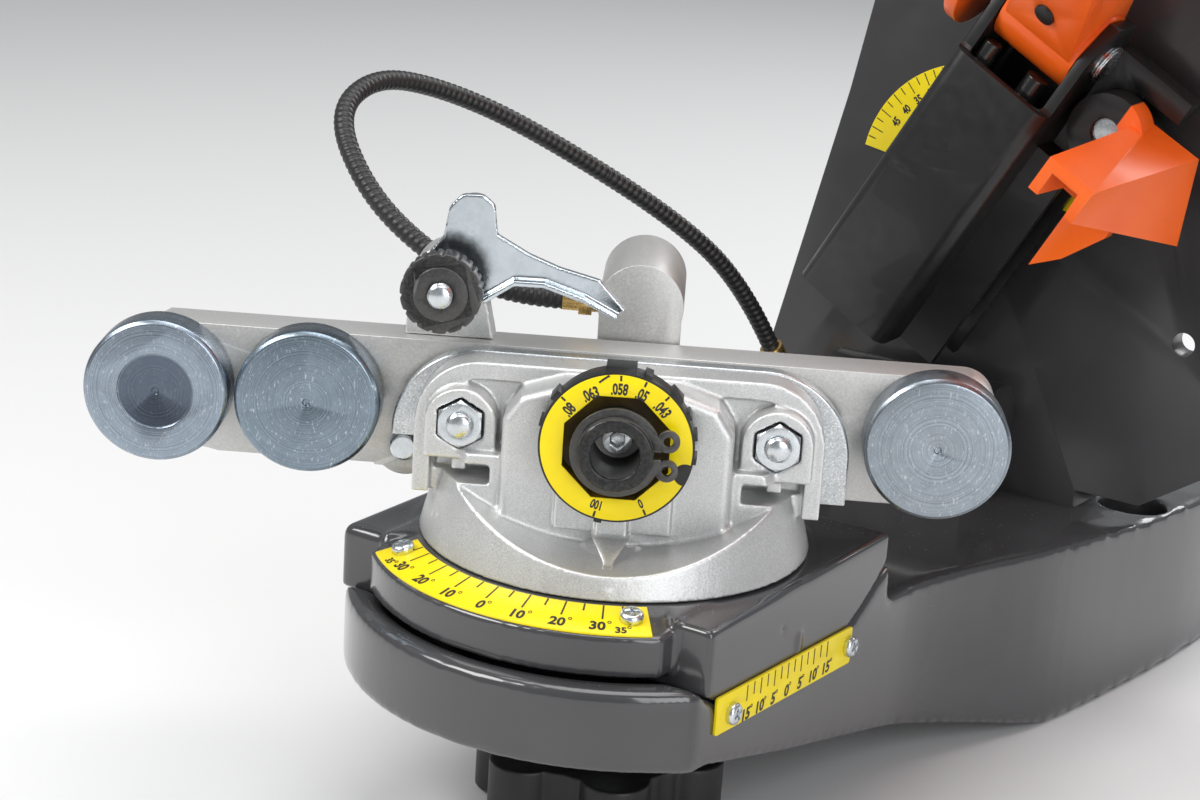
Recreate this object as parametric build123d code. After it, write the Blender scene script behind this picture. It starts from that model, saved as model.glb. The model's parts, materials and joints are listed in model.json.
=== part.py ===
from build123d import *
import os
from math import sin, cos, tan, radians, degrees, sqrt, pi, atan2

# Bench-mounted saw-chain sharpener: a bolted-down arm casting that carries a
# tilting cradle with a swivelling chain vise at its nose, and an upright
# bracket with a tilting column and a swinging grinder head at its back.
# All lengths are millimetres.  The model is drawn in the arm frame (turntable
# axis = Z, X to the right, Y to the back, z = 0 at the turntable's lower rim)
# and moved at the end so that the origin is the centre of the four bench bolts.

# ------------------------------------------------------------ driving sizes
BENCH = (0.0, 209.0, -72.0)      # centre of the bench bolt pattern, arm frame
BOLT_X, BOLT_Y, BOLT_R = 128.0, 62.0, 4.5   # bench bolt spacing and hole radius
VISE_YAW = 30.0                  # vise swivel shown by its pointer
HEAD_TILT = 30.0                 # sideways tilt of the column
HEAD_RAISE = 50.0                # how far the grinder head is swung up
CRADLE_Z = 48.0                  # height of the cradle's rocking axis
SEAM_R = 74.6                    # radius of the cradle's underside
SLIDE_R = 90.5                   # radius of the clamp pad under the nose
HALF_W = 50.0                    # half width of the arm nose
NOSE_R = 64.0                    # radius of the rounded nose
NOSE_X, NOSE_Y = 1.2, -0.8       # its centre
RING_R = 47.0                    # inner radius of the swivel scale
SCALE_R = 58.2                   # outer radius of the swivel scale
CHAIN_Z = 44.0                   # top of the jaws
JAW_GAP = 1.8                    # chain slot between the jaws
DISC_R = 17.15                   # chain support discs
DISC_X = (-109.5, -73.8, 74.0)   # along the vise
DISC_Z = 29.0
STUD_X, STUD_Z = 36.6, 30.0      # jaw clamping studs
DIAL_Z = 32.0
DIAL_R = 17.6
SPINDLE_R, SPINDLE_BORE = 8.5, 5.5
STOP_X, STOP_Z = -43.2, 58.2     # chain stop rod
TILT_S = 22.0                    # tilt pivot along the column from the jaw top
SWING_Y, SWING_S = 142.0, 80.0   # head hinge, column frame
WHEEL_R, WHEEL_T, WHEEL_BORE = 72.5, 4.5, 11.15
WHEEL_S = 84.5                   # wheel centre when the head is down
HOSE_R = 2.6

os.makedirs("parts", exist_ok=True)
PARTS = {}

# ------------------------------------------------------------ helpers
def cyl(axis, r, a, b, x=0.0, y=0.0, z=0.0):
    h = b - a
    if axis == "z":
        return Pos(x, y, a + h / 2) * Cylinder(r, h)
    if axis == "y":
        return Pos(x, a + h / 2, z) * Rot(90, 0, 0) * Cylinder(r, h)
    return Pos(a + h / 2, y, z) * Rot(0, 90, 0) * Cylinder(r, h)

def cone(axis, r0, r1, a, b, x=0.0, y=0.0, z=0.0):
    h = b - a
    if axis == "z":
        return Pos(x, y, a + h / 2) * Cone(r0, r1, h)
    if axis == "y":
        return Pos(x, a + h / 2, z) * Rot(-90, 0, 0) * Cone(r0, r1, h)
    return Pos(a + h / 2, y, z) * Rot(0, 90, 0) * Cone(r0, r1, h)

def box(x0, x1, y0, y1, z0, z1):
    return Pos((x0 + x1) / 2, (y0 + y1) / 2, (z0 + z1) / 2) * Box(x1 - x0, y1 - y0, z1 - z0)

def face(pts):
    return make_face(Polyline(*pts, close=True))

def prism_x(pts, x0, x1):
    return Pos(x0, 0, 0) * extrude(Plane.YZ * face(pts), amount=x1 - x0)

def prism_y(pts, y0, y1):
    return Pos(0, y1, 0) * extrude(Plane.XZ * face(pts), amount=y1 - y0)

def prism_z(pts, z0, z1):
    return Pos(0, 0, z0) * extrude(face(pts), amount=z1 - z0)

def soften(shape, edges, r):
    for k in (1.0, 0.7, 0.45, 0.25):
        try:
            s = fillet(edges, r * k)
            if s.is_valid and s.volume > 0:
                return s
        except Exception:
            pass
    return shape

def hex_y(af, y0, y1, x=0.0, z=0.0, turn=0.0):
    f = RegularPolygon(af / 2 / cos(radians(30)), 6)
    return Pos(x, y1, z) * extrude(Plane.XZ * (Rot(0, 0, 30 + turn) * f), amount=y1 - y0)

def hex_z(af, z0, z1, x=0.0, y=0.0):
    f = RegularPolygon(af / 2 / cos(radians(30)), 6)
    return Pos(x, y, z0) * extrude(f, amount=z1 - z0)

def hex_x(af, x0, x1, y=0.0, z=0.0):
    f = RegularPolygon(af / 2 / cos(radians(30)), 6)
    return Pos(x0, y, z) * extrude(Plane.YZ * f, amount=x1 - x0)

def rounded(w, h, r):
    return RectangleRounded(w, h, r)

def group(*solids):
    return Compound(children=[s if isinstance(s, Solid) else s.solids()[0] for s in solids])

def one(shape):
    s = shape.solids()
    s = sorted(s, key=lambda q: -q.volume)
    return s[0]

def pan_screw(d_head, h_head, d, length):
    """Pan head with a cross recess, head up, underside of the head at z = 0."""
    head = cyl("z", d_head / 2, 0, h_head)
    head = soften(head, head.edges().sort_by(Axis.Z)[-1:], h_head * 0.55)
    s = head + cyl("z", d / 2, -length, 0.0)
    w, t = d_head * 0.62, d_head * 0.13
    s = s - box(-w / 2, w / 2, -t / 2, t / 2, h_head * 0.45, h_head + 1)
    s = s - box(-t / 2, t / 2, -w / 2, w / 2, h_head * 0.45, h_head + 1)
    return one(s)

VISE = Rot(0, 0, VISE_YAW)
COL = Pos(0, 0, CHAIN_Z) * Rot(0, HEAD_TILT, 0)
HEAD = COL * Pos(0, SWING_Y, SWING_S) * Rot(-HEAD_RAISE, 0, 0) * Pos(0, -SWING_Y, -SWING_S)
SHIFT = Pos(-BENCH[0], -BENCH[1], -BENCH[2])

def put(name, shape, loc=Location()):
    """Keep the node in its final place; groups keep their separate solids."""
    sol = [s.moved(SHIFT * loc) for s in shape.solids()]
    PARTS[name] = sol[0] if len(sol) == 1 else Compound(children=sol)

# ============================================================ ARM AND BASE
# Plan outline: round nose, straight cheeks, then a flare to the bench foot.
yl = NOSE_Y - sqrt(NOSE_R ** 2 - (HALF_W + NOSE_X) ** 2)
yr = NOSE_Y - sqrt(NOSE_R ** 2 - (HALF_W - NOSE_X) ** 2)
flare = [(HALF_W, 56), (52.5, 75), (58.5, 95), (65, 113), (71, 141), (77, 188), (80, 250)]
nose_arc = ThreePointArc((-HALF_W, yl), (NOSE_X, NOSE_Y - NOSE_R), (HALF_W, yr))
right_side = Spline(*flare, tangents=[(0, 1), (0.05, 1)])
left_side = Spline(*[(-x, y) for x, y in reversed(flare)], tangents=[(0.05, -1), (0, -1)])
plan = extrude(make_face([nose_arc, Line((HALF_W, yr), flare[0]), right_side, Line((80, 250), (-80, 250)), left_side, Line((-HALF_W, 56), (-HALF_W, yl))]), amount=100)
plan = Pos(0, 0, -80) * plan
side = prism_x([(-70, -13.6), (40, -13.6), (51.6, -10.4), (51.6, -19.2), (130, -20.5), (160, -22.9), (200, -24.5), (250, -30),
                (250, -72), (120, -72), (60, -57), (1.4, -43.4), (-36, -33.8), (-70, -33.0)], -90, 90)
arm = plan & side
# saddle for the cradle, pocket in the nose for the cradle's scale shelf
saddle = cyl("x", SEAM_R + 0.12, -60, 60, 0, 0, CRADLE_Z) & box(-60, 60, -66.0, 51.7, -60, 20)
arm = arm - saddle
# the shelf's lower rim stays on a ball about the rocking axis as the cradle tilts
BALL_R = sqrt((SCALE_R + 0.4) ** 2 + (CRADLE_Z + 13.2) ** 2) + 0.35
pocket = (Pos(0, 0, CRADLE_Z) * Sphere(BALL_R)) & (Pos(0, 0, CRADLE_Z) * Rot(15, 0, 0) * box(-41.2, 41.2, -90, -5, -(CRADLE_Z + 13.6), 60)) & box(-60, 60, -80, -20, -60, 40)
arm = arm - pocket
# ribs-and-skirt underside: hollow between the cheeks, cylindrical clamp pad
hollow = box(-41.0, 41.0, -36.0, 118.0, -80, -36.0)
hollow = hollow + (box(-41.0, 41.0, 44.0, 118.0, -80, -28.0))
pad = cyl("x", SLIDE_R, -41.0, 41.0, 0, 0, CRADLE_Z) & box(-41, 41, -40, 44, -60, -20)
arm = arm - (hollow - pad)
arm = arm - box(-41, 41, -33.0, 40, -60, -46) 
# slot for the lock stud, long enough for the cradle's travel
slot = prism_x([(-100 * tan(radians(20.0)), CRADLE_Z - 100), (-60 * tan(radians(20.0)), CRADLE_Z - 60),
                (60 * tan(radians(20.0)), CRADLE_Z - 60), (100 * tan(radians(20.0)), CRADLE_Z - 100)], -5.7, 5.7)
arm = arm - slot
# bench bolt holes with spot faces
for sx in (-1, 1):
    for sy in (-1, 1):
        bx, by = sx * BOLT_X / 2, BENCH[1] + sy * BOLT_Y / 2
        arm = arm - cyl("z", BOLT_R, -73, 0, bx, by)
        arm = arm - cyl("z", 9.5, -34.0, 0, bx, by)
arm = one(arm)
top_edges = [e for e in arm.edges() if abs(e.center().Z + 13.6) < 0.2 and e.center().Y < -36 and e.length > 60]
arm = soften(arm, top_edges, 1.8)
low_edges = [e for e in arm.edges() if e.center().Z < -32.9 and e.center().Y < -45 and e.length > 60 and abs(e.center().X) < 1]
arm = soften(arm, low_edges, 1.5)
put("arm_casting", arm)

# upright bracket: slanted plate that carries the column, bolted to the arm
panel_pts = [(-53.0, -18.0), (-41.4, 29.4), (-28.7, 83.5), (-23.5, 110), (-14, 140), (8, 156), (40, 156),
             (78, 128), (100, 70), (104, 30), (104, 4), (72, -18.0)]
panel = prism_y(panel_pts, 160.0, 168.0)
panel = soften(panel, [e for e in panel.edges() if abs(e.center().Y - 164) < 0.1 and e.center().Z > 90], 14)
panel = panel - cyl("y", 3.25, 155, 175, 78.7, 0, 30)
P0 = (TILT_S * sin(radians(HEAD_TILT)), CHAIN_Z + TILT_S * cos(radians(HEAD_TILT)))
panel = panel - cyl("y", 6.05, 150, 180, P0[0], 0, P0[1])
# curved slot for the tilt lock stud, centred on the pivot
def about_pivot(r, deg):
    return (P0[0] + r * sin(radians(deg)), P0[1] + r * cos(radians(deg)))
LOCK_R, LOCK_A = 53.0, 62.0      # tilt lock stud, polar about the pivot (from up, to the right) at this tilt
seg = []
for k in range(0, 19):
    seg.append(about_pivot(LOCK_R + 4.3, LOCK_A - 36.5 + k * 48.0 / 18))
for k in range(18, -1, -1):
    seg.append(about_pivot(LOCK_R - 4.3, LOCK_A - 36.5 + k * 48.0 / 18))
panel = panel - prism_y(seg, 150, 180)
foot = box(-53.0, 53.0, 160.0, 196.0, -24.4, -17.0)
rib = prism_x([(167.0, -18.0), (194.0, -18.0), (167.0, 70.0)], -28.0, -22.0) + prism_x([(167.0, -18.0), (194.0, -18.0), (167.0, 70.0)], 27.0, 33.0)
rib = rib & prism_y(panel_pts, 150, 200)
bracket = panel + foot + rib
bracket = one(bracket)
for bx in (-42.0, 0.0, 42.0):
    bracket = bracket - cyl("z", 4.1, -30, -10, bx, 184)
bracket = one(bracket)
put("upright_bracket", Pos(0, 0, 0) * bracket)

# a flat seat under the bracket foot on the arm
arm2 = one(arm - box(-53.3, 53.3, 159.8, 196.3, -24.4, 0))
for bx in (-42.0, 0.0, 42.0):
    arm2 = arm2 - cyl("z", 4.1, -40, -20, bx, 184)
arm = one(arm2)
put("arm_casting", arm)
bolts = []
for bx in (-42.0, 0.0, 42.0):
    b = cyl("z", 4.0, -39.5, -17.0, bx, 184) + hex_z(13.0, -17.0, -11.8, bx, 184)
    bolts.append(one(b))
put("bracket_bolts", group(*bolts))

# side scale with its two screws
plate = prism_x([(-34.3, -26.6), (30.4, -29.4), (30.4, -20.0), (-34.3, -17.5)], HALF_W, HALF_W + 0.8)
plate = one(soften(plate, plate.edges().filter_by(Axis.X), 0.8))
SIDE_SCREWS = ((-27.8, -22.9), (28.6, -24.5))
for yy, zz in SIDE_SCREWS:
    plate = plate - cyl("x", 1.15, 40, 60, 0, yy, zz)
    arm = arm - cyl("x", 1.12, 40, 60, 0, yy, zz)
arm = one(arm)
put("arm_casting", arm)
put("side_scale_plate", plate)
scr = pan_screw(5.2, 1.9, 2.2, 6.0)
put("side_scale_screws", group(*[Pos(HALF_W + 0.8, yy, zz) * Rot(0, 90, 0) * Rot(0, 0, 20) * scr for yy, zz in SIDE_SCREWS]))

# round scale behind the column
hs = cyl("y", 33.5, 159.4, 160.0, P0[0], 0, P0[1]) - cyl("y", 9.5, 150, 170, P0[0], 0, P0[1])
hs = hs - (prism_y([about_pivot(60, -80), about_pivot(0, 0), about_pivot(90, 95), about_pivot(90, 180), about_pivot(90, -130)], 150, 170))
put("head_scale_plate", one(hs))

# master cylinder at the foot of the column with its hose fitting
MC_Y, MC_Z = 146.0, 2.0
mc = cyl("x", 10.0, -18, 34, 0, MC_Y, MC_Z) + cyl("x", 6.0, -23, -18, 0, MC_Y, MC_Z) + box(-12, 28, 139.0, 159.9, -26.0, -2.0)
mc = mc - arm
put("master_cylinder", one(mc))

# ============================================================ CRADLE
HW = HALF_W - 0.2
BLOCK_L = 53.4                   # the cradle overhangs the arm on the left
block = box(-BLOCK_L, HW, -37.6, 48.6, -40.0, -1.0) & cyl("x", SEAM_R, -60, 60, 0, 0, CRADLE_Z)
# shoulders slope away a little behind the turntable
shelf = cyl("z", SCALE_R + 0.4, -13.2, -0.2) & box(-40.4, 40.4, -70, 0, -14, 5)
block = block + shelf
block = block + (cyl("z", 49.0, -8.0, -0.6) & box(-HW, HW, -50, 48.4, -20, 20))
# conical seat of the swivel scale
scoop = (box(-40.4, 40.4, -70, -20, -8.25, 10) & (Pos(0, 0, 0) * Cylinder(75, 60))) - cyl("z", RING_R + 0.2, -30, 30)
slope = scoop - (Pos(0, 0, -4.4) * Cone(RING_R + 28.4, RING_R + 0.2, 8.8 - 1.0))
wedge_keep = prism_z([(0, 8.0), (-90 * sin(radians(41)), 8.0 - 90 * cos(radians(41))), (90 * sin(radians(41)), 8.0 - 90 * cos(radians(41)))], -30, 30)
slope = slope & wedge_keep
block = block - slope
# seat for the turntable spigot, and the stud hole
block = block - cyl("z", 15.06, -18.0, 5.0)
block = block - cyl("z", 5.2, -45.0, 5.0)
# pointer rib on the right cheek and a pin mark
block = block + box(HW - 0.5, HW + 0.5, 3.4, 5.0, -18.5, -14.0)
block = block - (Pos(HW + 0.3, -4.1, -10.5) * Sphere(0.9))
block = one(block)
for side_x, rad in ((HW, 1.5), (-BLOCK_L, 3.0)):
    ed = [e for e in block.edges() if abs(e.center().Z + 1.0) < 0.05 and abs(e.center().X - side_x) < 0.3 and e.length > 30]
    block = one(soften(block, ed, rad))
ed = [e for e in block.edges().filter_by(Axis.Z) if abs(e.center().X + BLOCK_L) < 0.3 and e.center().Y < -37]
block = soften(block, ed, 2.5)
block = one(block)
put("cradle_block", block)

# swivel scale: a bent strip that follows the cone
outer = Pos(0, 0, -4.4 + 0.55) * Cone(RING_R + 28.4, RING_R + 0.2, 7.8)
inner = Pos(0, 0, -4.4) * Cone(RING_R + 28.4, RING_R + 0.2, 7.8)
strip = (outer - inner) & (cyl("z", SCALE_R - 0.3, -20, 10) - cyl("z", RING_R + 0.9, -20, 10))
strip = strip & prism_z([(0, 2.0), (-90 * sin(radians(40.0)), 2.0 - 90 * cos(radians(40.0))), (90 * sin(radians(40.0)), 2.0 - 90 * cos(radians(40.0)))], -30, 30)
strip = one(strip)
sc = []
for sgn in (-1, 1):
    a = radians(sgn * 37.0)
    r = 52.2
    zc = -4.4 + 0.55 + 3.9 - 7.8 * (r - RING_R - 0.2) / 28.2
    at = Pos(r * sin(a), -r * cos(a), zc) * Rot(0, 0, degrees(a)) * Rot(15.4, 0, 0)
    sc.append(at * pan_screw(5.4, 2.0, 2.6, 6.0))
    strip = strip - at * cyl("z", 1.4, -9, 5)
    block = block - at * cyl("z", 1.33, -9, 5)
put("arc_scale_plate", one(strip))
put("cradle_block", one(block))
put("arc_scale_screws", group(*sc))

# lock stud with its washer under the nose, and the hand knob
stud = cyl("z", 5.0, -71.5, -9.0) + cyl("z", 8.0, -17.9, -13.3)
washer = (cyl("x", SLIDE_R + 4.2, -9.5, 9.5, 0, 0, CRADLE_Z) - cyl("x", SLIDE_R + 0.15, -12, 12, 0, 0, CRADLE_Z)) & cyl("z", 9.4, -60, -30)
washer = washer & box(-10, 10, -10, 10, -47.4, -30)
washer = washer - cyl("z", 5.05, -60, -30)
put("lock_stud", group(one(stud), one(washer)))
KZ = -47.7
knob = cyl("z", 13.6, KZ - 24, KZ)
lobes = cyl("z", 25.0, KZ - 24, KZ - 6.0)
for k in range(6):
    a = radians(60 * k + 12)
    lobes = lobes + cyl("z", 8.4, KZ - 24, KZ - 6.0, 23.4 * cos(a), 23.4 * sin(a))
for k in range(6):
    a = radians(60 * k + 42)
    lobes = lobes - cyl("z", 5.6, KZ - 30, KZ, 30.0 * cos(a), 30.0 * sin(a))
lobes = one(lobes)
lobes = soften(lobes, lobes.edges().group_by(Axis.Z)[-1], 2.0)
knob = one(knob + lobes)
knob = knob - cyl("z", 5.05, KZ - 40, KZ + 5)
knob = knob - (cyl("z", 19.0, KZ - 24.1, KZ - 21.0) - cyl("z", 10.0, KZ - 30, KZ))
knob = one(knob)
put("lock_knob", knob)

# ============================================================ VISE (vise frame)
# turntable: low cone with a scooped front ledge
tb = cone("z", 46.7, 40.5, 0.0, 24.0) 
tb = tb + cyl("z", 15.0, -13.0, 0.5)
scoop_front = cyl("y", 66.0, -60.0, -22.0, 0, 0, 71.5)
tb = tb - scoop_front
tb = tb - box(-60, 60, 26, 60, 12, 30)
core = box(-34, 34, -20.0, 30.0, 4.0, 20.0) & cyl("z", 41.5, 0, 30)
tb = tb + core
# front frame with arched corners
def frame_outline(hw, z0, z1, r):
    pts = Sketch()
    b = Rectangle(2 * hw, z1 - z0)
    b = Pos(0, (z0 + z1) / 2) * b
    b = fillet(b.vertices().group_by(Axis.Y)[-1], r)
    return b
FR_Y0, FR_Y1 = -14.5, -5.6
frm = Pos(0, FR_Y1, 0) * extrude(Plane.XZ * frame_outline(47.6, 11.5, 43.8, 15.0), amount=FR_Y1 - FR_Y0)
rec = Pos(0, FR_Y0 + 2.4, 0) * extrude(Plane.XZ * frame_outline(43.6, 5.0, 39.6, 11.5), amount=8.0)
frm = frm - rec
tb = tb + frm
# middle housing with bevelled shoulders and the square pad below the dial
hous = prism_y([(-26.5, 3.0), (-26.5, 33.5), (-22.5, 39.5), (-13, 42.6), (13, 42.6), (22.5, 39.5), (26.5, 33.5), (26.5, 3.0)], -25.0, -8.0)
hous = soften(hous, [e for e in hous.edges() if abs(e.center().Y + 25) < 0.05 and e.center().Z > 8], 2.0)
tb = tb + hous
tb = tb + (box(-13.4, 13.4, -27.2, -20, 9.4, 20))
tb = tb + box(-3.6, 3.6, -29.4, -20, 7.6, 13.5)
# pointer rib on the ledge
vee = prism_z([(-6.6, -26.0), (6.6, -26.0), (1.0, -46.3), (-1.0, -46.3)], 0.0, 6.6)
vee = vee & (cyl("z", 46.3, 0, 30)) 
vee = vee - prism_x([(-27.0, 6.6), (-27.0, 20), (-60, 20), (-60, 2.4), (-46.0, 2.6)], -10, 10)
tb = tb + vee
# stud bosses: U-shaped pads with hexagon pockets, relief slots below
for sx in (-1, 1):
    x = sx * STUD_X
    boss = cyl("y", 8.3, -18.6, -8.0, x, 0, STUD_Z) + box(x - 8.3, x + 8.3, -18.6, -8.0, STUD_Z - 8.6, STUD_Z)
    tb = tb + boss
    tb = tb - hex_y(10.9, -20, -14.6, x, STUD_Z)
    tb = tb - cyl("y", 3.25, -30, 0, x, 0, STUD_Z)
    tb = tb - box(x - 7.6 if sx > 0 else x - 6.2, x + 6.2 if sx > 0 else x + 7.6, -24, -9.5, STUD_Z - 13.2, STUD_Z - 8.6)
    tb = tb + box(x - 1.7, x + 1.7, -17.0, -8.5, STUD_Z - 11.6, STUD_Z - 8.4)
# spindle bore through the housing
tb = tb + cyl("y", 11.0, -27.3, -20.0, 0, 0, DIAL_Z)
tb = tb - cyl("y", SPINDLE_R - 0.02, -40, -7.9, 0, 0, DIAL_Z)
# bed for the rear bar, free of the jaw space
tb = tb - box(-60, 60, -5.6, 13.2, 11.6, 60)
tb = tb - box(-60, 60, -5.6, 60, 20.0, 60)
tb = tb - cyl("z", 5.2, -20, 12.0)
tb = tb - cyl("z", 8.6, 3.5, 12.0)
tb = one(tb)
put("vise_body", tb, VISE)

# rear bar that carries the chain slot and the discs
bar_y0, bar_y1 = JAW_GAP / 2, 12.8
bar_pts = [(-96, 12.4), (-58.5, 12.4), (-58.5, 11.9), (88, 11.9), (88, 43.8), (-110, 43.8), (-123, 36), (-125, 26), (-119, 17)]
bar = prism_y(bar_pts, bar_y0, bar_y1)
bar = bar + (cyl("y", 7.6, bar_y0, bar_y1, -51.3, 0, 17.6))
bar = one(bar)
bar = soften(bar, [e for e in bar.edges() if abs(e.center().Y - 6.85) < 0.1 and abs(e.center().X - 88) < 0.1], 8.0)
bar = bar - cyl("y", 2.6, 0, 20, -STUD_X, 0, STUD_Z) - cyl("y", 2.6, 0, 20, STUD_X, 0, STUD_Z)
for x in DISC_X:
    bar = bar - cyl("y", 3.95, 0, 20, x, 0, DISC_Z)
bar = bar - cyl("y", 3.05, 0, 20, -51.3, 0, 17.6)
bar = bar - box(8.0, 60, 9.5, 20, 20.2, 34)
bar = one(bar)
put("rear_jaw_bar", bar, VISE)

# front jaw plate, rounded shoulders, slides on the two studs
jp = Pos(0, -JAW_GAP / 2, 0) * extrude(Plane.XZ * frame_outline(54.0, 12.4, 43.8, 21.0), amount=3.8)
for sx in (-1, 1):
    jp = jp - cyl("y", 3.05, -10, 5, sx * STUD_X, 0, STUD_Z)
    jp = jp - box(sx * 54.0 - 12, sx * 54.0 + 12, -10, 5, 0, 21.8) if sx < 0 else jp
jp = one(jp)
jp = soften(jp, [e for e in jp.edges() if abs(e.center().Y + JAW_GAP / 2 + 3.8) < 0.05 and e.center().Z > 30], 0.7)
put("front_jaw_plate", one(jp), VISE)

# studs and nuts
studs, nuts = [], []
for sx in (-1, 1):
    x = sx * STUD_X
    s = cyl("y", 3.0, -21.2, 0.85, x, 0, STUD_Z) + cyl("y", 2.55, 0.8, 12.4, x, 0, STUD_Z)
    s = one(s)
    s = soften(s, s.edges().sort_by(Axis.Y)[:1], 0.6)
    studs.append(one(s))
    n = hex_y(10.0, -19.6, -14.6, x, STUD_Z, 0) & (cone("y", 5.0, 6.2, -19.6, -18.2, x, 0, STUD_Z) + cyl("y", 6.2, -18.2, -14.6, x, 0, STUD_Z))
    n = n - cyl("y", 3.01, -30, 0, x, 0, STUD_Z)
    nuts.append(one(n))
put("jaw_studs", group(*studs), VISE)
put("jaw_nuts", group(*nuts), VISE)
rv = cyl("y", 3.0, -1.4, 11.5, -51.3, 0, 17.6) + cyl("y", 3.4, -1.9, JAW_GAP / 2, -51.3, 0, 17.6)
rv = one(rv)
rv = soften(rv, rv.edges().sort_by(Axis.Y)[:1], 0.9)

# three turned discs on fixed pins
pins = []
for i, x in enumerate(DISC_X):
    pins.append(one(cyl("y", 3.93, -4.2, 12.6, x, 0, DISC_Z)))
put("bar_pins", group(*(pins + [one(rv)])), VISE)
for nm, x in zip(("chain_disc_outer", "chain_disc_inner", "chain_disc_right"), DISC_X):
    d = cyl("y", DISC_R, -8.6, 0.45, x, 0, DISC_Z)
    d = one(d)
    d = chamfer(d.edges().sort_by(Axis.Y)[:1], 0.9)
    d = d - cyl("y", 4.0, -4.8, 10, x, 0, DISC_Z)
    d = d - cyl("y", 0.8, -10, -7.9, x, 0, DISC_Z)
    if nm == "chain_disc_outer":
        d = d - (cyl("y", 9.0, -10, -8.25, x, 0, DISC_Z))
    d = one(d)
    put(nm, d, VISE)

# gauge dial on its spindle
dl = cyl("y", DIAL_R, -33.8, -27.7, 0, 0, DIAL_Z)
for ang, hw, rr in [(0, 3.4, 1.3), (20, 0.9, 0.9), (-52, 1.3, 0.9), (45, 1.7, 0.9), (62, 0.8, 0.7), (78, 0.8, 0.7), (96, 0.8, 0.6), (190, 0.9, 0.6), (-75, 0.8, 0.5)]:
    dl = dl + Pos(0, 0, DIAL_Z) * Rot(0, ang, 0) * box(-hw, hw, -33.8, -28.0, DIAL_R - 1.0, DIAL_R + rr)
octo = Pos(0, -29.6, DIAL_Z) * extrude(Plane.XZ * (Rot(0, 0, 22.5) * RegularPolygon(12.9, 8)), amount=6.0)
dl = dl - octo
dl = dl - cyl("y", SPINDLE_R + 0.05, -45, 0, 0, 0, DIAL_Z)
dl = one(dl)
put("gauge_dial", dl, VISE)
lb = cyl("y", 17.1, -34.1, -33.8, 0, 0, DIAL_Z) - (Pos(0, -33.0, DIAL_Z) * extrude(Plane.XZ * (Rot(0, 0, 22.5) * RegularPolygon(12.95, 8)), amount=3.0))
lb = lb - (Pos(0, 0, DIAL_Z) * Rot(0, 108, 0) * (cyl("y", 2.6, -45, 0, 0, 0, 16.6)))
put("dial_label", one(lb), VISE)
sp = cyl("y", SPINDLE_R, -40.0, -27.35, 0, 0, DIAL_Z) + cyl("y", SPINDLE_R - 0.04, -27.4, -8.0, 0, 0, DIAL_Z)
sp = sp - (cyl("y", 10, -37.6, -36.4, 0, 0, DIAL_Z) - cyl("y", 7.8, -39, -34, 0, 0, DIAL_Z))
sp = sp - cyl("y", SPINDLE_BORE, -42, -24.0, 0, 0, DIAL_Z)
sp = one(sp)
sp = soften(sp, [e for e in sp.edges() if abs(e.center().Y + 40.0) < 0.05], 0.6)
put("dial_spindle", one(sp), VISE)
ci = cyl("y", 10.3, -37.5, -36.5, 0, 0, DIAL_Z)
for dz in (-3.4, 3.4):
    ci = ci + cyl("y", 2.6, -37.5, -36.5, 11.6, 0, DIAL_Z + dz)
ci = ci - cyl("y", 7.82, -40, -30, 0, 0, DIAL_Z)
ci = ci - box(7, 16, -40, -30, DIAL_Z - 0.9, DIAL_Z + 0.9)
for dz in (-3.4, 3.4):
    ci = ci - cyl("y", 1.1, -40, -30, 11.6, 0, DIAL_Z + dz)
put("spindle_circlip", one(ci), VISE)
ss = cyl("y", 3.4, -28.0, -24.05, 0, 0, DIAL_Z)
ss = ss - hex_y(3.2, -29, -26, 0, DIAL_Z)
put("spindle_screw", one(ss), VISE)

# chain stop: boss on the bar, threaded rod, thumbwheel, sprung pawl
br = cyl("y", 8.6, 5.0, 16.5, STOP_X, 0, STOP_Z - 1.0) + prism_y([(STOP_X - 8.6, STOP_Z - 1), (STOP_X - 9.6, 43.9), (STOP_X + 11.5, 43.9), (STOP_X + 8.6, STOP_Z - 1)], 5.0, 12.7)
br = br - cyl("y", 2.98, 0, 30, STOP_X, 0, STOP_Z)
br = one(br)
put("stop_bracket", br, VISE)
rod = cyl("y", 2.95, -13.6, 21.0, STOP_X, 0, STOP_Z)
rod = one(rod)
rod = soften(rod, rod.edges().sort_by(Axis.Y)[:1], 0.5)
put("stop_rod", one(rod), VISE)
tw = cyl("y", 9.5, -10.6, -5.0, STOP_X, 0, STOP_Z)
nk = 30
for k in range(nk):
    a = 2 * pi * k / nk
    tw = tw - (Pos(STOP_X, 0, STOP_Z) * Rot(0, 360.0 * k / nk, 0) * Pos(0, 0, 9.75) * Rot(0, 45, 0) * box(-0.62, 0.62, -7.8 if k % 2 else -20, 10, -0.62, 0.62))
tw = tw + cyl("y", 6.4, -11.2, -4.4, STOP_X, 0, STOP_Z)
tw = tw - cyl("y", 3.0, -20, 5, STOP_X, 0, STOP_Z)
put("thumbwheel", one(tw), VISE)
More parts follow.
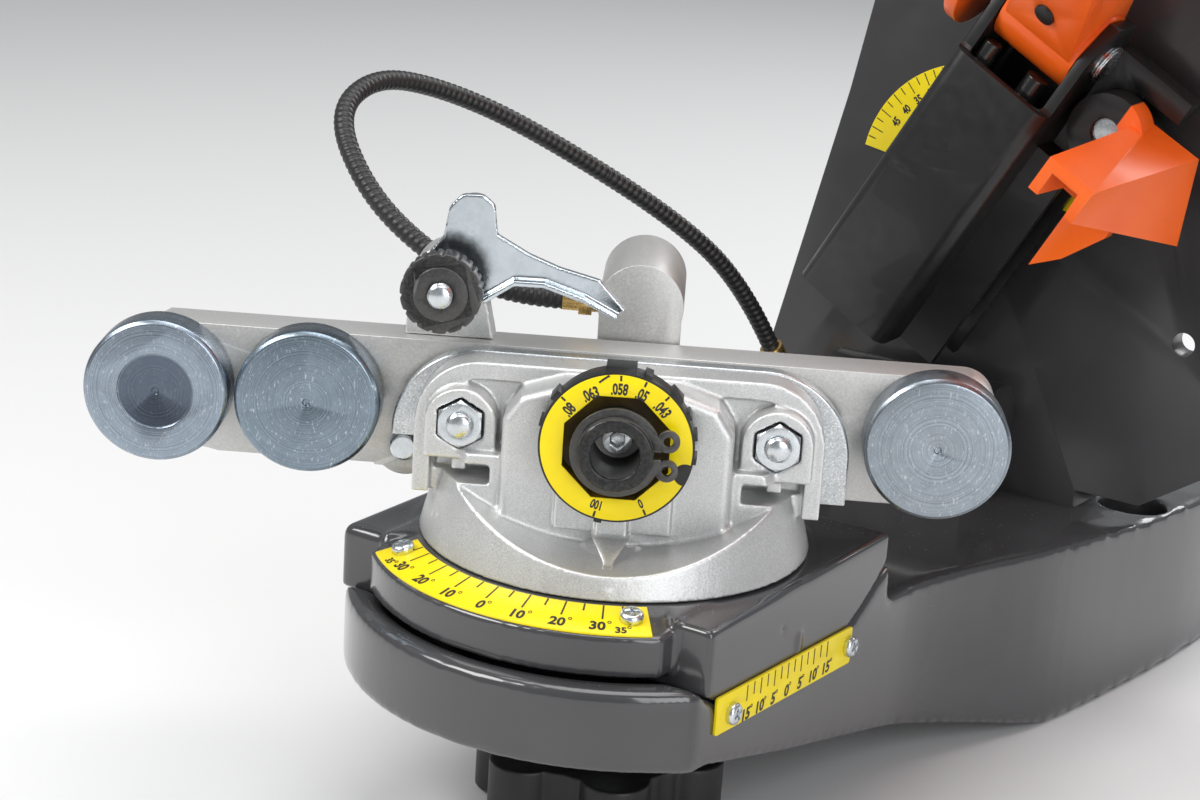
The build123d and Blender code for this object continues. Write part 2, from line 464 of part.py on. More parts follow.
# pawl: bent plate from the rod to the chain, thumb tab above
pl = prism_y([(-49.4, 57.0), (-48.6, 63.5), (-44.3, 69.2), (-43.2, 76.2), (-40.4, 79.3), (-35.6, 79.6), (-32.6, 77.2), (-31.7, 70.3),
              (-24.0, 66.2), (-16.8, 63.5), (-7.3, 61.2), (-0.8, 54.3), (-2.4, 53.4), (-10.6, 57.4), (-20.1, 60.4), (-27.2, 60.3), (-34.2, 55.2), (-38.6, 51.9), (-46.0, 51.6)], 0.9, 3.1)
pl = soften(pl, [e for e in pl.edges() if abs(e.center().Y - 2.0) < 0.05 and e.center().Z > 74], 2.2)
lip = prism_y([(-34.6, 55.4), (-27.2, 60.4), (-20.1, 60.5), (-10.6, 57.5), (-2.4, 53.4), (-2.9, 52.9), (-10.9, 56.3), (-20.1, 59.2), (-27.0, 59.1), (-33.8, 54.4)], -2.4, 3.1)
pl = pl + lip
tab = cyl("y", 4.4, 3.0, 7.0, -37.6, 0, 74.4) - cyl("y", 2.9, 4.2, 9.0, -37.6, 0, 74.4)
pl = pl + tab
pl = pl + cyl("y", 6.2, -2.9, 3.1, STOP_X, 0, STOP_Z)
pl = pl - cyl("y", 3.0, -20, 20, STOP_X, 0, STOP_Z)
pl = one(pl)
put("chain_stop_pawl", pl, VISE)

# clamp cylinder behind the bar: round barrel over a saddle block, ram inside
sl = cyl("y", 10.3, 14.2, 46.0, 2.4, 0, 52.0) + box(-7.5, 12.3, 14.2, 34.0, 20.1, 50.0)
sl = sl - cyl("y", 4.05, 10, 31.0, 2.4, 0, 27.5)
sl = one(sl)
sl = soften(sl, sl.edges().filter_by(GeomType.CIRCLE).sort_by(Axis.Y)[:1], 0.6)
put("clamp_cylinder", one(sl), VISE)
ram = cyl("y", 4.0, 13.9, 29.5, 2.4, 0, 27.5)
put("clamp_ram", one(ram), VISE)
bf = cyl("x", 2.7, -16.5, -7.9, 0, 19.0, 51.5) + hex_x(6.4, -12.6, -9.4, 19.0, 51.5)
bf = bf - cyl("y", 10.32, 10, 50, 2.4, 0, 52.0)
put("brass_fitting", one(bf), VISE)

# ============================================================ HOSE
# route in the arm frame, from the clamp cylinder over a free loop to the base
A0 = VISE * Pos(-16.5, 19.0, 51.5)
start = A0.position
A1 = (VISE * Pos(-31.0, 19.0, 51.5)).position
HOSE = [(start.X, start.Y, start.Z), (A1.X, A1.Y, A1.Z), (-57.0, -1.0, 57.5), (-77.0, -1.0, 69.5), (-95.0, 8.0, 85.5),
        (-99.5, 30.0, 92.0), (-95.0, 54.0, 86.5), (-82.0, 77.0, 75.0), (-54.0, 112.0, 48.5), (-42.5, 132.0, 28.0), (-37.5, 142.0, 9.0)]
mid = tuple((HOSE[7][k] + HOSE[8][k]) / 2 for k in range(3))
route_a = HOSE[:8] + [mid]
route_b = [mid] + HOSE[8:]
def tube(pts, r, label):
    P = [Vector(*p) for p in pts]
    rad = []
    for i in range(1, len(P) - 1):
        u, v = P[i] - P[i - 1], P[i + 1] - P[i]
        turn = u.get_angle(v)
        rad.append(0.45 * min(u.length, v.length) / tan(radians(turn) / 2))
    path = FilletPolyline(*P, radius=rad)
    d = (P[1] - P[0]).normalized()
    prof = Plane(origin=P[0], z_dir=d) * Circle(r)
    t = sweep(prof, path=path.wire() if hasattr(path, "wire") else path)
    L = path.length
    print(label, "radii", [round(q, 1) for q in rad], "length", round(L, 1), "volume ratio", round(t.volume / (pi * r * r * L), 4))
    return t
put("hose_front", one(tube(route_a, HOSE_R, "hose_front")))
put("hose_rear", one(tube(route_b, HOSE_R, "hose_rear")))
end = HOSE[-1]
e0 = Vector(*HOSE[-1]); d = (Vector(*HOSE[-1]) - Vector(*HOSE[-2])).normalized()
elb = Plane(origin=e0, z_dir=d) * (Pos(0, 0, 4.0) * Cylinder(3.4, 8.0))
ec_ = e0 + d * 7.0
elb = elb + (Pos(ec_.X, ec_.Y, ec_.Z) * Sphere(4.2))
elb = elb + cyl("x", 3.6, ec_.X, -23.0, 0, MC_Y, MC_Z)
print("elbow end", [round(q, 2) for q in ec_], "port", MC_Y, MC_Z)
put("hose_elbow", one(elb))

# ============================================================ COLUMN (column frame)
CW, CY0, CY1 = 15.6, 125.0, 158.9
col = Pos(0, (CY0 + CY1) / 2, -17) * extrude(RectangleRounded(2 * CW, CY1 - CY0, 4.0), amount=86.0)
col = col - (Pos(0, (CY0 + CY1) / 2, -3) * extrude(RectangleRounded(2 * CW - 6.0, CY1 - CY0 - 6.0, 2.2), amount=100.0))
# the mouth is cut lower at the front
col = col - prism_x([(120, 63.5), (129, 63.5), (136, 69.1), (136, 75), (120, 75)], -30, 30)
# left flange with a round top, cheeks for the hinge
col = col + box(-22.0, -15.0, 150.0, 156.0, -17.0, 84.0) + cyl("y", 3.5, 150.0, 156.0, -18.5, 0, 84.0)
cheek_pts = [(130, 60), (154, 60), (154, 80), (148, 91), (136, 91), (130, 80)]
col = col + prism_x(cheek_pts, -15.6, -12.6) + prism_x(cheek_pts, 12.6, 15.6)
# right side: a channel, then an ear that ends in a cross bar, with the eye for the lock stud
col = col + (box(15.0, 27.0, 138.0, 156.0, -17.0, 52.0) - box(18.0, 30.0, 141.0, 153.0, -20.0, 49.0))
lx, ls = LOCK_R * sin(radians(LOCK_A - HEAD_TILT)), TILT_S + LOCK_R * cos(radians(LOCK_A - HEAD_TILT))
col = col + box(15.0, 26.0, 148.0, 156.0, 49.0, 77.5) + box(15.0, 40.0, 148.0, 156.0, 77.5, 84.0)
eye = box(15.0, lx + 9.0, 148.0, 156.0, ls - 7.5, ls + 7.5)
eye = soften(eye, [e for e in eye.edges().filter_by(Axis.Y) if e.center().X > 20], 6.0)
col = col + eye
col = col - cyl("y", 6.05, 150, 162, 0, 0, TILT_S)
col = col - cyl("y", 4.1, 145, 160, lx, 0, ls)
col = col - cyl("x", 5.03, -17, 17, 0, SWING_Y, SWING_S)
col = one(col)
put("tilt_column", col, COL)
# pivot bolt with nut and washer, fixed in the bracket
pb = cyl("y", 6.0, 150.6, 182.0, 0, 0, TILT_S) + hex_y(17.0, 149.0, 154.6, 0, TILT_S)
pb = pb + cyl("y", 9.8, 154.4, 155.7, 0, 0, TILT_S)
nt = hex_y(18.0, 170.2, 179.0, 0, TILT_S) - cyl("y", 6.0, 160, 190, 0, 0, TILT_S)
ws = cyl("y", 12.0, 168.0, 170.2, 0, 0, TILT_S) - cyl("y", 6.0, 160, 190, 0, 0, TILT_S)
put("tilt_pivot_hardware", group(one(pb), one(nt), one(ws)), COL)
# tilt lock: stud through the slot, lever in front of the eye
ts = cyl("y", 4.0, 138.0, 174.0, lx, 0, ls) + cyl("y", 9.5, 168.6, 171.0, lx, 0, ls)
put("tilt_lock_stud", one(ts), COL)
# lever: a tapering handle, hollow below at its tip, and a plate that hangs down behind
def section_y(pts, y):
    return Plane(origin=(0, y, 0), x_dir=(1, 0, 0), z_dir=(0, -1, 0)) * face(pts)
lever = loft([section_y([(31.0, 54.5), (33.5, 74.5), (50.5, 75.0), (60.0, 53.0)], 145.5), section_y([(29.9, 57.6), (29.9, 67.6), (44.2, 67.6), (44.2, 57.6)], 98.0)])
lever = one(lever)
lever = lever - prism_y([(33.0, 50), (32.8, 64.5), (41.2, 64.5), (42.2, 50)], 97.0, 116.0)
lever = lever + cyl("y", 10.5, 137.0, 145.6, lx, 0, ls)
lever = lever + prism_y([(32.4, 56.0), (32.7, 24.9), (38.9, 32.3), (44.9, 44.5), (44.9, 56.0)], 137.5, 142.5)
lever = one(lever - cyl("y", 4.05, 120, 150, lx, 0, ls))
put("tilt_lock_lever", lever, COL)
# hinge pin with washer and clip
cl = cyl("x", 5.8, 16.2, 17.0, 0, SWING_Y, SWING_S) - cyl("x", 4.98, 10, 20, 0, SWING_Y, SWING_S)
hp = cyl("x", 4.98, -26.0, 17.4, 0, SWING_Y, SWING_S) + cyl("x", 8.0, -17.6, -15.7, 0, SWING_Y, SWING_S)
put("hinge_pin", group(one(hp), one(cl)), COL)
# round cap pressed on the pin's left end
cap = one(cyl("x", 16.5, -27.0, -22.4, 0, SWING_Y, SWING_S))
cap = soften(cap, cap.edges().filter_by(GeomType.CIRCLE).sort_by(Axis.X)[:1], 1.6)
cap = cap - cyl("x", 5.0, -26.0, -20.0, 0, SWING_Y, SWING_S)
put("hinge_cap", one(cap), COL)
# two rest posts inside the column mouth
po = cyl("z", 3.2, -3.0, 68.0, 5.5, 134.8)
po2 = cyl("z", 2.7, -3.0, 68.0, -9.7, 134.0)
put("rest_posts", group(one(po), one(po2)), COL)

# ============================================================ GRINDER HEAD (column frame, drawn lowered)
WS = WHEEL_S
STOP_Y = 126.4
# swing arm: hub between the cheeks, neck to the wheel housing
hubb = cyl("x", 12.0, -12.2, 12.2, 0, SWING_Y, SWING_S)
neck = prism_x([(60, 84), (74, 72.5), (118, 71.0), (136, 69.5), (148, 72), (152, 84), (140, 93.0), (112, 98), (74, 108), (60, 112)], -11.0, 11.0)
arms = hubb + neck
arms = arms - cyl("x", WHEEL_R + 6.0, -30, 30, 0, 0, WS)
arms = arms - cyl("x", 5.05, -20, 20, 0, SWING_Y, SWING_S)
arms = arms - cyl("z", 3.0, 60, 120, 0, STOP_Y)
arms = arms - prism_x([(88, 79), (108, 77), (108, 93), (88, 99)], -20, -5.0)
arms = arms - prism_x([(88, 79), (108, 77), (108, 93), (88, 99)], 5.0, 20)
put("swing_arm", one(arms), HEAD)
# wheel housing: a drum open below, right wall carries the motor
GR = WHEEL_R + 6.0
drum = cyl("x", GR, -13.0, 15.0, 0, 0, WS)
drum = drum - cyl("x", GR - 2.6, -10.4, 12.4, 0, 0, WS)
cutl = prism_x([(0, WS), (-130 * cos(radians(28)), WS + 130 * sin(radians(28)) - 40), (-130, WS - 120), (0, WS - 160), (130, WS - 120), (130 * cos(radians(-14)), WS + 130 * sin(radians(-14)))], -30, 30)
drum = drum - cutl
# web around the spindle and motor seat
seatd = (cyl("x", 31.0, 12.4, 15.0, 0, 0, WS))
drum = drum + seatd
drum = drum - cyl("x", 13.2, 5, 30, 0, 0, WS)
drum = one(drum)
lug = prism_x([(70, 92), (78.2, 92), (78.2, 104), (70, 106)], -6.0, 6.0)
drum = drum - cyl("x", 26.0, -20, -5, 0, 0, WS)
drum = one(drum)
put("wheel_housing", drum, HEAD)
cov = cyl("x", 30.0, -14.8, -13.0, 0, 0, WS) - cyl("x", 9.0, -20, -5, 0, 0, WS)
cov = cov - prism_x([(0, WS), (-130 * cos(radians(28)), WS + 130 * sin(radians(28)) - 40), (-130, WS - 120), (0, WS - 160), (130, WS - 120), (130 * cos(radians(-14)), WS + 130 * sin(radians(-14)))], -30, 30)
cs = []
for ang in (28, 90, 150):
    yy, zz = 28.0 * cos(radians(ang)), WS + 28.0 * sin(radians(ang))
    cov = cov - cyl("x", 1.12, -20, -12, 0, yy, zz)
    cs.append(Pos(-14.8, yy, zz) * Rot(0, -90, 0) * pan_screw(4.0, 1.7, 2.2, 1.7))
put("housing_cover", one(cov), HEAD)
put("cover_screws", group(*cs), HEAD)
# wheel, flanges, nut on the rotor shaft
gw = cyl("x", WHEEL_R, -WHEEL_T / 2, WHEEL_T / 2, 0, 0, WS) - cyl("x", WHEEL_BORE, -5, 5, 0, 0, WS)
put("grinding_wheel", one(gw), HEAD)
fl1 = cyl("x", 25.0, WHEEL_T / 2, WHEEL_T / 2 + 3.2, 0, 0, WS) + cyl("x", WHEEL_BORE - 0.04, -WHEEL_T / 2, WHEEL_T / 2 + 0.1, 0, 0, WS)
fl1 = fl1 - cyl("x", 5.0, -20, 20, 0, 0, WS)
fl2 = cyl("x", 25.0, -WHEEL_T / 2 - 3.2, -WHEEL_T / 2, 0, 0, WS) - cyl("x", 5.0, -20, 20, 0, 0, WS)
put("wheel_flanges", group(one(fl1), one(fl2)), HEAD)
wn = hex_x(16.0, -WHEEL_T / 2 - 3.2 - 7.0, -WHEEL_T / 2 - 3.2, 0, WS) - cyl("x", 5.0, -30, 20, 0, 0, WS)
put("wheel_nut", one(wn), HEAD)
MR, MX0, MX1 = 38.0, 15.0, 98.0
shaft = cyl("x", 5.0, -11.6, 92.0, 0, 0, WS) + cyl("x", 19.0, 32.0, 78.0, 0, 0, WS) + cyl("x", 7.4, WHEEL_T / 2 + 3.2, 18.0, 0, 0, WS)
put("rotor_shaft", one(shaft), HEAD)
stt = cyl("x", 34.4, 34.0, 76.0, 0, 0, WS) - cyl("x", 19.6, 20, 90, 0, 0, WS)
put("stator", one(stt), HEAD)
bb = []
for x0 in (20.0, 84.0):
    r = cyl("x", 11.0, x0, x0 + 7.0, 0, 0, WS) - cyl("x", 5.04, 0, 120, 0, 0, WS)
    bb.append(one(r))
put("motor_bearings", group(*bb), HEAD)
mh = cyl("x", MR, MX0, MX1, 0, 0, WS) - cyl("x", 34.4, 28.0, 120, 0, 0, WS)
mh = mh - cyl("x", 11.0, 20.0, 40, 0, 0, WS) - cyl("x", 7.8, 10, 30, 0, 0, WS)
for k in range(24):
    a = 15 * k
    fin = Pos(0, 0, WS) * Rot(a, 0, 0) * box(30, 90, -0.9, 0.9, MR - 0.5, MR + 2.0)
    mh = mh + fin
mh = mh + box(36, 84, -52.0, -30, WS - 16, WS + 16)
mh = mh - box(38.5, 81.5, -49.5, -39.5, WS - 13.5, WS + 13.5)
mh = mh - cyl("x", 34.4, 28.0, 120, 0, 0, WS)
mh = mh - box(50, 70, -60, -45, WS - 6.5, WS + 6.5)
for x0, x1 in ((46.5, 50.0), (70.0, 73.5)):
    mh = mh + box(x0, x1, -49.6, -45.2, WS - 3.5, WS + 3.5)
mh = mh - cyl("x", 1.6, 48.6, 71.4, 0, -48.0, WS)
mh = one(mh)
put("motor_housing", mh, HEAD)
ec = cyl("x", MR, MX1, MX1 + 14.0, 0, 0, WS)
ec = one(ec)
ec = soften(ec, ec.edges().sort_by(Axis.X)[-1:], 6.0)
ec = ec - cyl("x", MR - 4.0, MX1 - 1, MX1 + 10.5, 0, 0, WS)
ec = ec + (cyl("x", 14.0, 84.0, MX1 + 12.0, 0, 0, WS) - cyl("x", 11.0, 80, 91.0, 0, 0, WS) - cyl("x", 6.0, 80, 96.0, 0, 0, WS))
for k in range(8):
    ec = ec - (Pos(0, 0, WS) * Rot(45 * k, 0, 0) * box(MX1 + 5, MX1 + 20, -2.0, 2.0, 17.0, 28.0))
put("motor_end_cap", one(ec), HEAD)
# rocker switch in its box on the front of the motor
rk = box(51.0, 69.0, -51.6, -46.0, WS - 5.6, WS + 5.6)
rk = rk & (cyl("x", 9.0, 40, 80, 0, -44.6, WS) + box(40, 80, -48.5, -40, WS - 20, WS + 20))
rk = rk + cyl("x", 1.5, 49.0, 71.0, 0, -48.0, WS)
put("rocker_switch", one(rk), HEAD)
# handle: bracket on the housing top, grip bar with a soft cover
hb = prism_x([(-30, WS + 60), (-6, WS + GR - 2.0), (10, WS + GR - 1.0), (10, WS + GR + 9), (-8, WS + GR + 9), (-44, WS + GR + 2), (-50, WS + GR - 8)], -7.0, 7.0)
hb = hb - cyl("x", GR, -20, 20, 0, 0, WS)
hb = one(hb) + cyl("y", 5.0, -84.0, -40.0, 0, 0, WS + GR - 3.0)
hb = one(hb)
put("handle_bracket", hb, HEAD)
gp = cyl("y", 13.0, -168.0, -72.0, 0, 0, WS + GR - 3.0)
gp = one(gp)
gp = soften(gp, gp.edges().filter_by(GeomType.CIRCLE), 4.0)
for k in range(7):
    gp = gp - (cyl("y", 14.0, -152.0 + k * 10, -149.6 + k * 10, 0, 0, WS + GR - 3.0) - cyl("y", 12.2, -170, -60, 0, 0, WS + GR - 3.0))
gp = gp - cyl("y", 5.0, -84.0, -60, 0, 0, WS + GR - 3.0)
put("handle_grip", one(gp), HEAD)
# adjustable depth stop: screw through the neck with a knob on top
ds = cyl("z", 2.95, 69.5, 101.0, 0, STOP_Y)
kb = cyl("z", 8.0, 97.6, 105.0, 0, STOP_Y)
for k in range(12):
    kb = kb - cyl("z", 1.2, 90, 120, 8.6 * cos(radians(30 * k)), STOP_Y + 8.6 * sin(radians(30 * k)))
put("depth_stop_screw", one(ds + kb), HEAD)
# cable gland at the motor's back
cg = cyl("y", 7.5, 36.0, 46.0, 60.0, 0, WS) + cone("y", 6.0, 4.6, 46.0, 58.0, 60.0, 0, WS)
cg = cg - cyl("y", 3.4, 40, 70, 60.0, 0, WS)
cg = cg - cyl("x", MR + 2.05, 0, 120, 0, 0, WS)
put("cable_gland", one(cg), HEAD)

for name, shape in PARTS.items():
    export_step(shape, "parts/%s.step" % name)
print(len(PARTS), "nodes")
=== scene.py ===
import bpy, bmesh, json, math, random
from math import sin, cos, tan, radians, degrees, pi, sqrt, atan2
from mathutils import Vector, Matrix, noise


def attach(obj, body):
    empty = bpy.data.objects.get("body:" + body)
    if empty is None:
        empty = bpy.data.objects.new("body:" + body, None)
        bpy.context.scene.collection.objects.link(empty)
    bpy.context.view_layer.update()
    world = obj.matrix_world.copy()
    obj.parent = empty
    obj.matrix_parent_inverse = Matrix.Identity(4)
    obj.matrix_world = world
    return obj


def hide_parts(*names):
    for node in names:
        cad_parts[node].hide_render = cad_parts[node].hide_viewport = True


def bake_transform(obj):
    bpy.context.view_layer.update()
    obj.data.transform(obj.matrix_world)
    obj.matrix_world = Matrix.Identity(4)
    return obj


# A bench-mounted saw-chain sharpener.  Shapes are written in millimetres in the
# drawing's own frames (arm, vise, column, head) and converted to the row frame
# in metres when each mesh is made.

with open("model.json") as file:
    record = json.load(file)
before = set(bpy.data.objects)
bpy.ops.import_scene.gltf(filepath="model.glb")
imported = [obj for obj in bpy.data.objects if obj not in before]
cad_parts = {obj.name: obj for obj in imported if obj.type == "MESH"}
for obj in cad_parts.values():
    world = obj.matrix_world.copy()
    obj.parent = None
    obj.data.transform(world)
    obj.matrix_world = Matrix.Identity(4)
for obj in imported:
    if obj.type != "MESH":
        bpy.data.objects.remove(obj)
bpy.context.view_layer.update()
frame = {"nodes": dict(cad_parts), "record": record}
NODES = frame["nodes"]
random.seed(7)

# ---------------------------------------------------------------- frames
MM = Matrix.Scale(0.001, 4)
T = Matrix.Translation
ARM = T((0.0, -0.209, 0.072)) @ MM
VISE = ARM @ Matrix.Rotation(radians(30), 4, "Z")
COL = ARM @ T((0, 0, 44.0)) @ Matrix.Rotation(radians(30), 4, "Y")
HEAD = COL @ T((0, 142.0, 80.0)) @ Matrix.Rotation(radians(-50), 4, "X") @ T((0, -142.0, -80.0))


def body_of(node):
    for b, ns in frame["record"]["behaviour"]["bodies"].items():
        if node in ns:
            return b


# ---------------------------------------------------------------- camera
def make_camera():
    az, el, roll, dist = radians(31.84), radians(17.11), radians(3.78), 618.4
    target = Vector((-7.1, 1.2, 31.1))
    back = Vector((sin(az) * cos(el), -cos(az) * cos(el), sin(el)))
    fwd = -back
    right = fwd.cross(Vector((0, 0, 1))).normalized()
    up = right.cross(fwd)
    r = cos(roll) * right + sin(roll) * up
    u = -sin(roll) * right + cos(roll) * up
    pos = ARM @ (target - fwd * dist)
    cam = bpy.data.cameras.new("camera")
    cam.sensor_width, cam.lens = 36.0, 78.0
    cam.clip_start, cam.clip_end = 0.02, 20
    ob = bpy.data.objects.new("camera", cam)
    bpy.context.scene.collection.objects.link(ob)
    m = Matrix((r, u, back)).transposed().to_4x4()
    ob.matrix_world = T(pos) @ m
    bpy.context.scene.camera = ob
    return ob


CAM = make_camera()


# ---------------------------------------------------------------- materials
class NT:
    """Small helper for shader node trees."""

    def __init__(self, name):
        self.mat = bpy.data.materials.new(name)
        self.mat.use_nodes = True
        self.t = self.mat.node_tree
        self.n = self.t.nodes
        self.b = self.n.get("Principled BSDF")
        if self.b is None:
            self.b = self.n.new("ShaderNodeBsdfPrincipled")
            out = self.n.new("ShaderNodeOutputMaterial")
            self.t.links.new(self.b.outputs[0], out.inputs[0])
        self.tc = self.n.new("ShaderNodeTexCoord")

    def link(self, a, b):
        self.t.links.new(a, b)

    def set(self, **k):
        for key, v in k.items():
            self.b.inputs[key.replace("_", " ")].default_value = v

    def obj(self):
        return self.tc.outputs["Object"]

    def mapping(self, vec, scale=(1, 1, 1), loc=(0, 0, 0), rot=(0, 0, 0)):
        m = self.n.new("ShaderNodeMapping")
        m.inputs["Scale"].default_value = scale
        m.inputs["Location"].default_value = loc
        m.inputs["Rotation"].default_value = rot
        self.link(vec, m.inputs["Vector"])
        return m.outputs[0]

    def noise(self, vec, size_mm, detail=2.0, rough=0.5, dist=0.0):
        x = self.n.new("ShaderNodeTexNoise")
        x.inputs["Scale"].default_value = 1000.0 / size_mm
        x.inputs["Detail"].default_value = detail
        x.inputs["Roughness"].default_value = rough
        x.inputs["Distortion"].default_value = dist
        self.link(vec, x.inputs["Vector"])
        return x.outputs["Fac"]

    def voronoi(self, vec, size_mm, feature="F1", out="Distance", rand=1.0):
        x = self.n.new("ShaderNodeTexVoronoi")
        x.feature = feature
        x.inputs["Scale"].default_value = 1000.0 / size_mm
        x.inputs["Randomness"].default_value = rand
        self.link(vec, x.inputs["Vector"])
        return x.outputs[out]

    def math(self, op, a, b=None, clamp=False):
        x = self.n.new("ShaderNodeMath")
        x.operation = op
        x.use_clamp = clamp
        for i, v in enumerate((a, b)):
            if v is None:
                continue
            if isinstance(v, (int, float)):
                x.inputs[i].default_value = v
            else:
                self.link(v, x.inputs[i])
        return x.outputs[0]

    def vmath(self, op, a, b=None):
        x = self.n.new("ShaderNodeVectorMath")
        x.operation = op
        for i, v in enumerate((a, b)):
            if v is None:
                continue
            if isinstance(v, (tuple, list, Vector)):
                x.inputs[i].default_value = tuple(v)
            else:
                self.link(v, x.inputs[i])
        return x.outputs["Value"] if op in ("DOT_PRODUCT", "LENGTH", "DISTANCE") else x.outputs[0]

    def ramp(self, fac, stops, interp="LINEAR"):
        x = self.n.new("ShaderNodeValToRGB")
        x.color_ramp.interpolation = interp
        e = x.color_ramp.elements
        while len(e) > 1:
            e.remove(e[-1])
        e[0].position = stops[0][0]
        c = stops[0][1]
        e[0].color = (c, c, c, 1) if isinstance(c, (int, float)) else (*c, 1)
        for p, c in stops[1:]:
            k = e.new(p)
            k.color = (c, c, c, 1) if isinstance(c, (int, float)) else (*c, 1)
        self.link(fac, x.inputs[0])
        return x.outputs[0]

    def mix(self, fac, a, b, blend="MIX"):
        x = self.n.new("ShaderNodeMix")
        x.data_type = "RGBA"
        x.blend_type = blend
        for i, v in ((0, fac), (6, a), (7, b)):
            if isinstance(v, (int, float)):
                x.inputs[i].default_value = v
            elif isinstance(v, (tuple, list)):
                x.inputs[i].default_value = (*v, 1) if len(v) == 3 else v
            else:
                self.link(v, x.inputs[i])
        return x.outputs[2]

    def maprange(self, v, a, b, c, d, clamp=True):
        x = self.n.new("ShaderNodeMapRange")
        x.clamp = clamp
        self.link(v, x.inputs[0])
        for i, q in enumerate((a, b, c, d)):
            x.inputs[i + 1].default_value = q
        return x.outputs[0]

    def bump(self, height, strength=0.2, dist_mm=0.1, normal=None):
        x = self.n.new("ShaderNodeBump")
        x.inputs["Strength"].default_value = strength
        x.inputs["Distance"].default_value = dist_mm * 0.001
        self.link(height, x.inputs["Height"])
        if normal is not None:
            self.link(normal, x.inputs["Normal"])
        return x.outputs[0]

    def pointy(self):
        g = self.n.new("ShaderNodeNewGeometry")
        return g.outputs["Pointiness"]

    def to(self, out, name):
        self.link(out, self.b.inputs[name])


MAT = {}


def mat_enamel():
    m = NT("grey_enamel")
    o = m.obj()
    big = m.noise(o, 40, 3)
    fine = m.noise(o, 0.9, 2)
    col = m.mix(m.maprange(big, 0.3, 0.7, 0, 1), (0.040, 0.040, 0.042), (0.052, 0.052, 0.055))
    # a few dust specks, mostly on upward faces
    g = m.n.new("ShaderNodeNewGeometry")
    up = m.maprange(m.vmath("DOT_PRODUCT", g.outputs["Normal"], (0, 0, 1)), 0.75, 0.98, 0, 1)
    speck = m.voronoi(o, 1.5)
    sp = m.math("MULTIPLY", m.maprange(speck, 0.05, 0.13, 1, 0), m.maprange(m.noise(o, 9, 2), 0.48, 0.62, 0, 1))
    sp = m.math("MULTIPLY", sp, up)
    col = m.mix(m.math("MULTIPLY", sp, 0.55), col, (0.34, 0.34, 0.34))
    m.to(col, "Base Color")
    m.to(m.math("ADD", m.math("MULTIPLY", sp, 0.3), m.maprange(m.noise(o, 14, 3), 0.3, 0.7, 0.16, 0.24)), "Roughness")
    m.set(Coat_Weight=0.6, Coat_Roughness=0.06, Specular_IOR_Level=0.55)
    b = m.bump(m.noise(o, 3.2, 2, 0.4), 0.10, 0.12)
    m.to(b, "Normal")
    return m.mat


def mat_bracket():
    m = NT("bracket_enamel")
    o = m.obj()
    col = m.mix(m.maprange(m.noise(o, 30, 3), 0.3, 0.7, 0, 1), (0.030, 0.030, 0.032), (0.040, 0.040, 0.042))
    m.to(col, "Base Color")
    m.to(m.maprange(m.noise(o, 11, 3), 0.3, 0.7, 0.30, 0.40), "Roughness")
    m.set(Coat_Weight=0.25, Coat_Roughness=0.15, Specular_IOR_Level=0.5)
    m.to(m.bump(m.noise(o, 1.4, 2, 0.5), 0.10, 0.10), "Normal")
    return m.mat


def mat_cast(name, base=(0.68, 0.685, 0.68), grain=0.34, rough=(0.38, 0.52), metal=0.80, strength=0.5):
    m = NT(name)
    o = m.obj()
    g1 = m.noise(o, grain, 3, 0.6)
    g2 = m.noise(o, 7.0, 4, 0.6)
    g3 = m.voronoi(o, grain * 2.2)
    shade = m.mix(m.maprange(g1, 0.35, 0.68, 0, 1), tuple(c * 0.80 for c in base), tuple(min(1, c * 1.12) for c in base))
    shade = m.mix(m.maprange(g2, 0.35, 0.7, 0, 0.35), shade, tuple(c * 0.78 for c in base))
    edge = m.maprange(m.pointy(), 0.505, 0.56, 0, 1)
    shade = m.mix(m.math("MULTIPLY", edge, 0.55), shade, (0.86, 0.86, 0.85))
    m.to(shade, "Base Color")
    m.set(Metallic=metal)
    m.to(m.maprange(g1, 0.3, 0.7, rough[0], rough[1]), "Roughness")
    h = m.math("ADD", m.math("MULTIPLY", g1, 0.7), m.math("MULTIPLY", g3, 0.45))
    m.to(m.bump(h, strength, 0.10), "Normal")
    return m.mat


def mat_zinc(name="zinc", base=(0.70, 0.735, 0.76), rough=(0.20, 0.34), spots=0.0, metal=1.0):
    m = NT(name)
    o = m.obj()
    n1 = m.noise(o, 1.1, 4, 0.65)
    n2 = m.noise(o, 5.5, 3, 0.6)
    col = m.mix(m.maprange(n2, 0.35, 0.65, 0, 1), tuple(c * 0.86 for c in base), base)
    if spots:
        v = m.voronoi(o, 0.75)
        col = m.mix(m.math("MULTIPLY", m.maprange(v, 0.1, 0.45, 1, 0), spots), col, (0.30, 0.325, 0.34))
        v2 = m.noise(o, 0.42, 2, 0.6)
        col = m.mix(m.math("MULTIPLY", m.maprange(v2, 0.52, 0.66, 0, 1), spots), col, (0.95, 0.97, 0.98))
    m.to(col, "Base Color")
    m.set(Metallic=metal)
    m.to(m.maprange(n1, 0.3, 0.7, rough[0], rough[1]), "Roughness")
    m.to(m.bump(m.noise(o, 0.5, 2, 0.5), 0.16 + 0.3 * spots, 0.05), "Normal")
    return m.mat


def mat_yellow():
    m = NT("yellow_plate")
    o = m.obj()
    col = m.mix(m.maprange(m.noise(o, 9, 3), 0.3, 0.7, 0, 1), (0.86, 0.66, 0.0), (0.92, 0.73, 0.0))
    m.to(col, "Base Color")
    m.to(m.maprange(m.noise(o, 3, 3), 0.3, 0.7, 0.30, 0.42), "Roughness")
    m.set(Specular_IOR_Level=0.45)
    m.to(m.bump(m.noise(o, 0.6, 2), 0.05, 0.05), "Normal")
    return m.mat


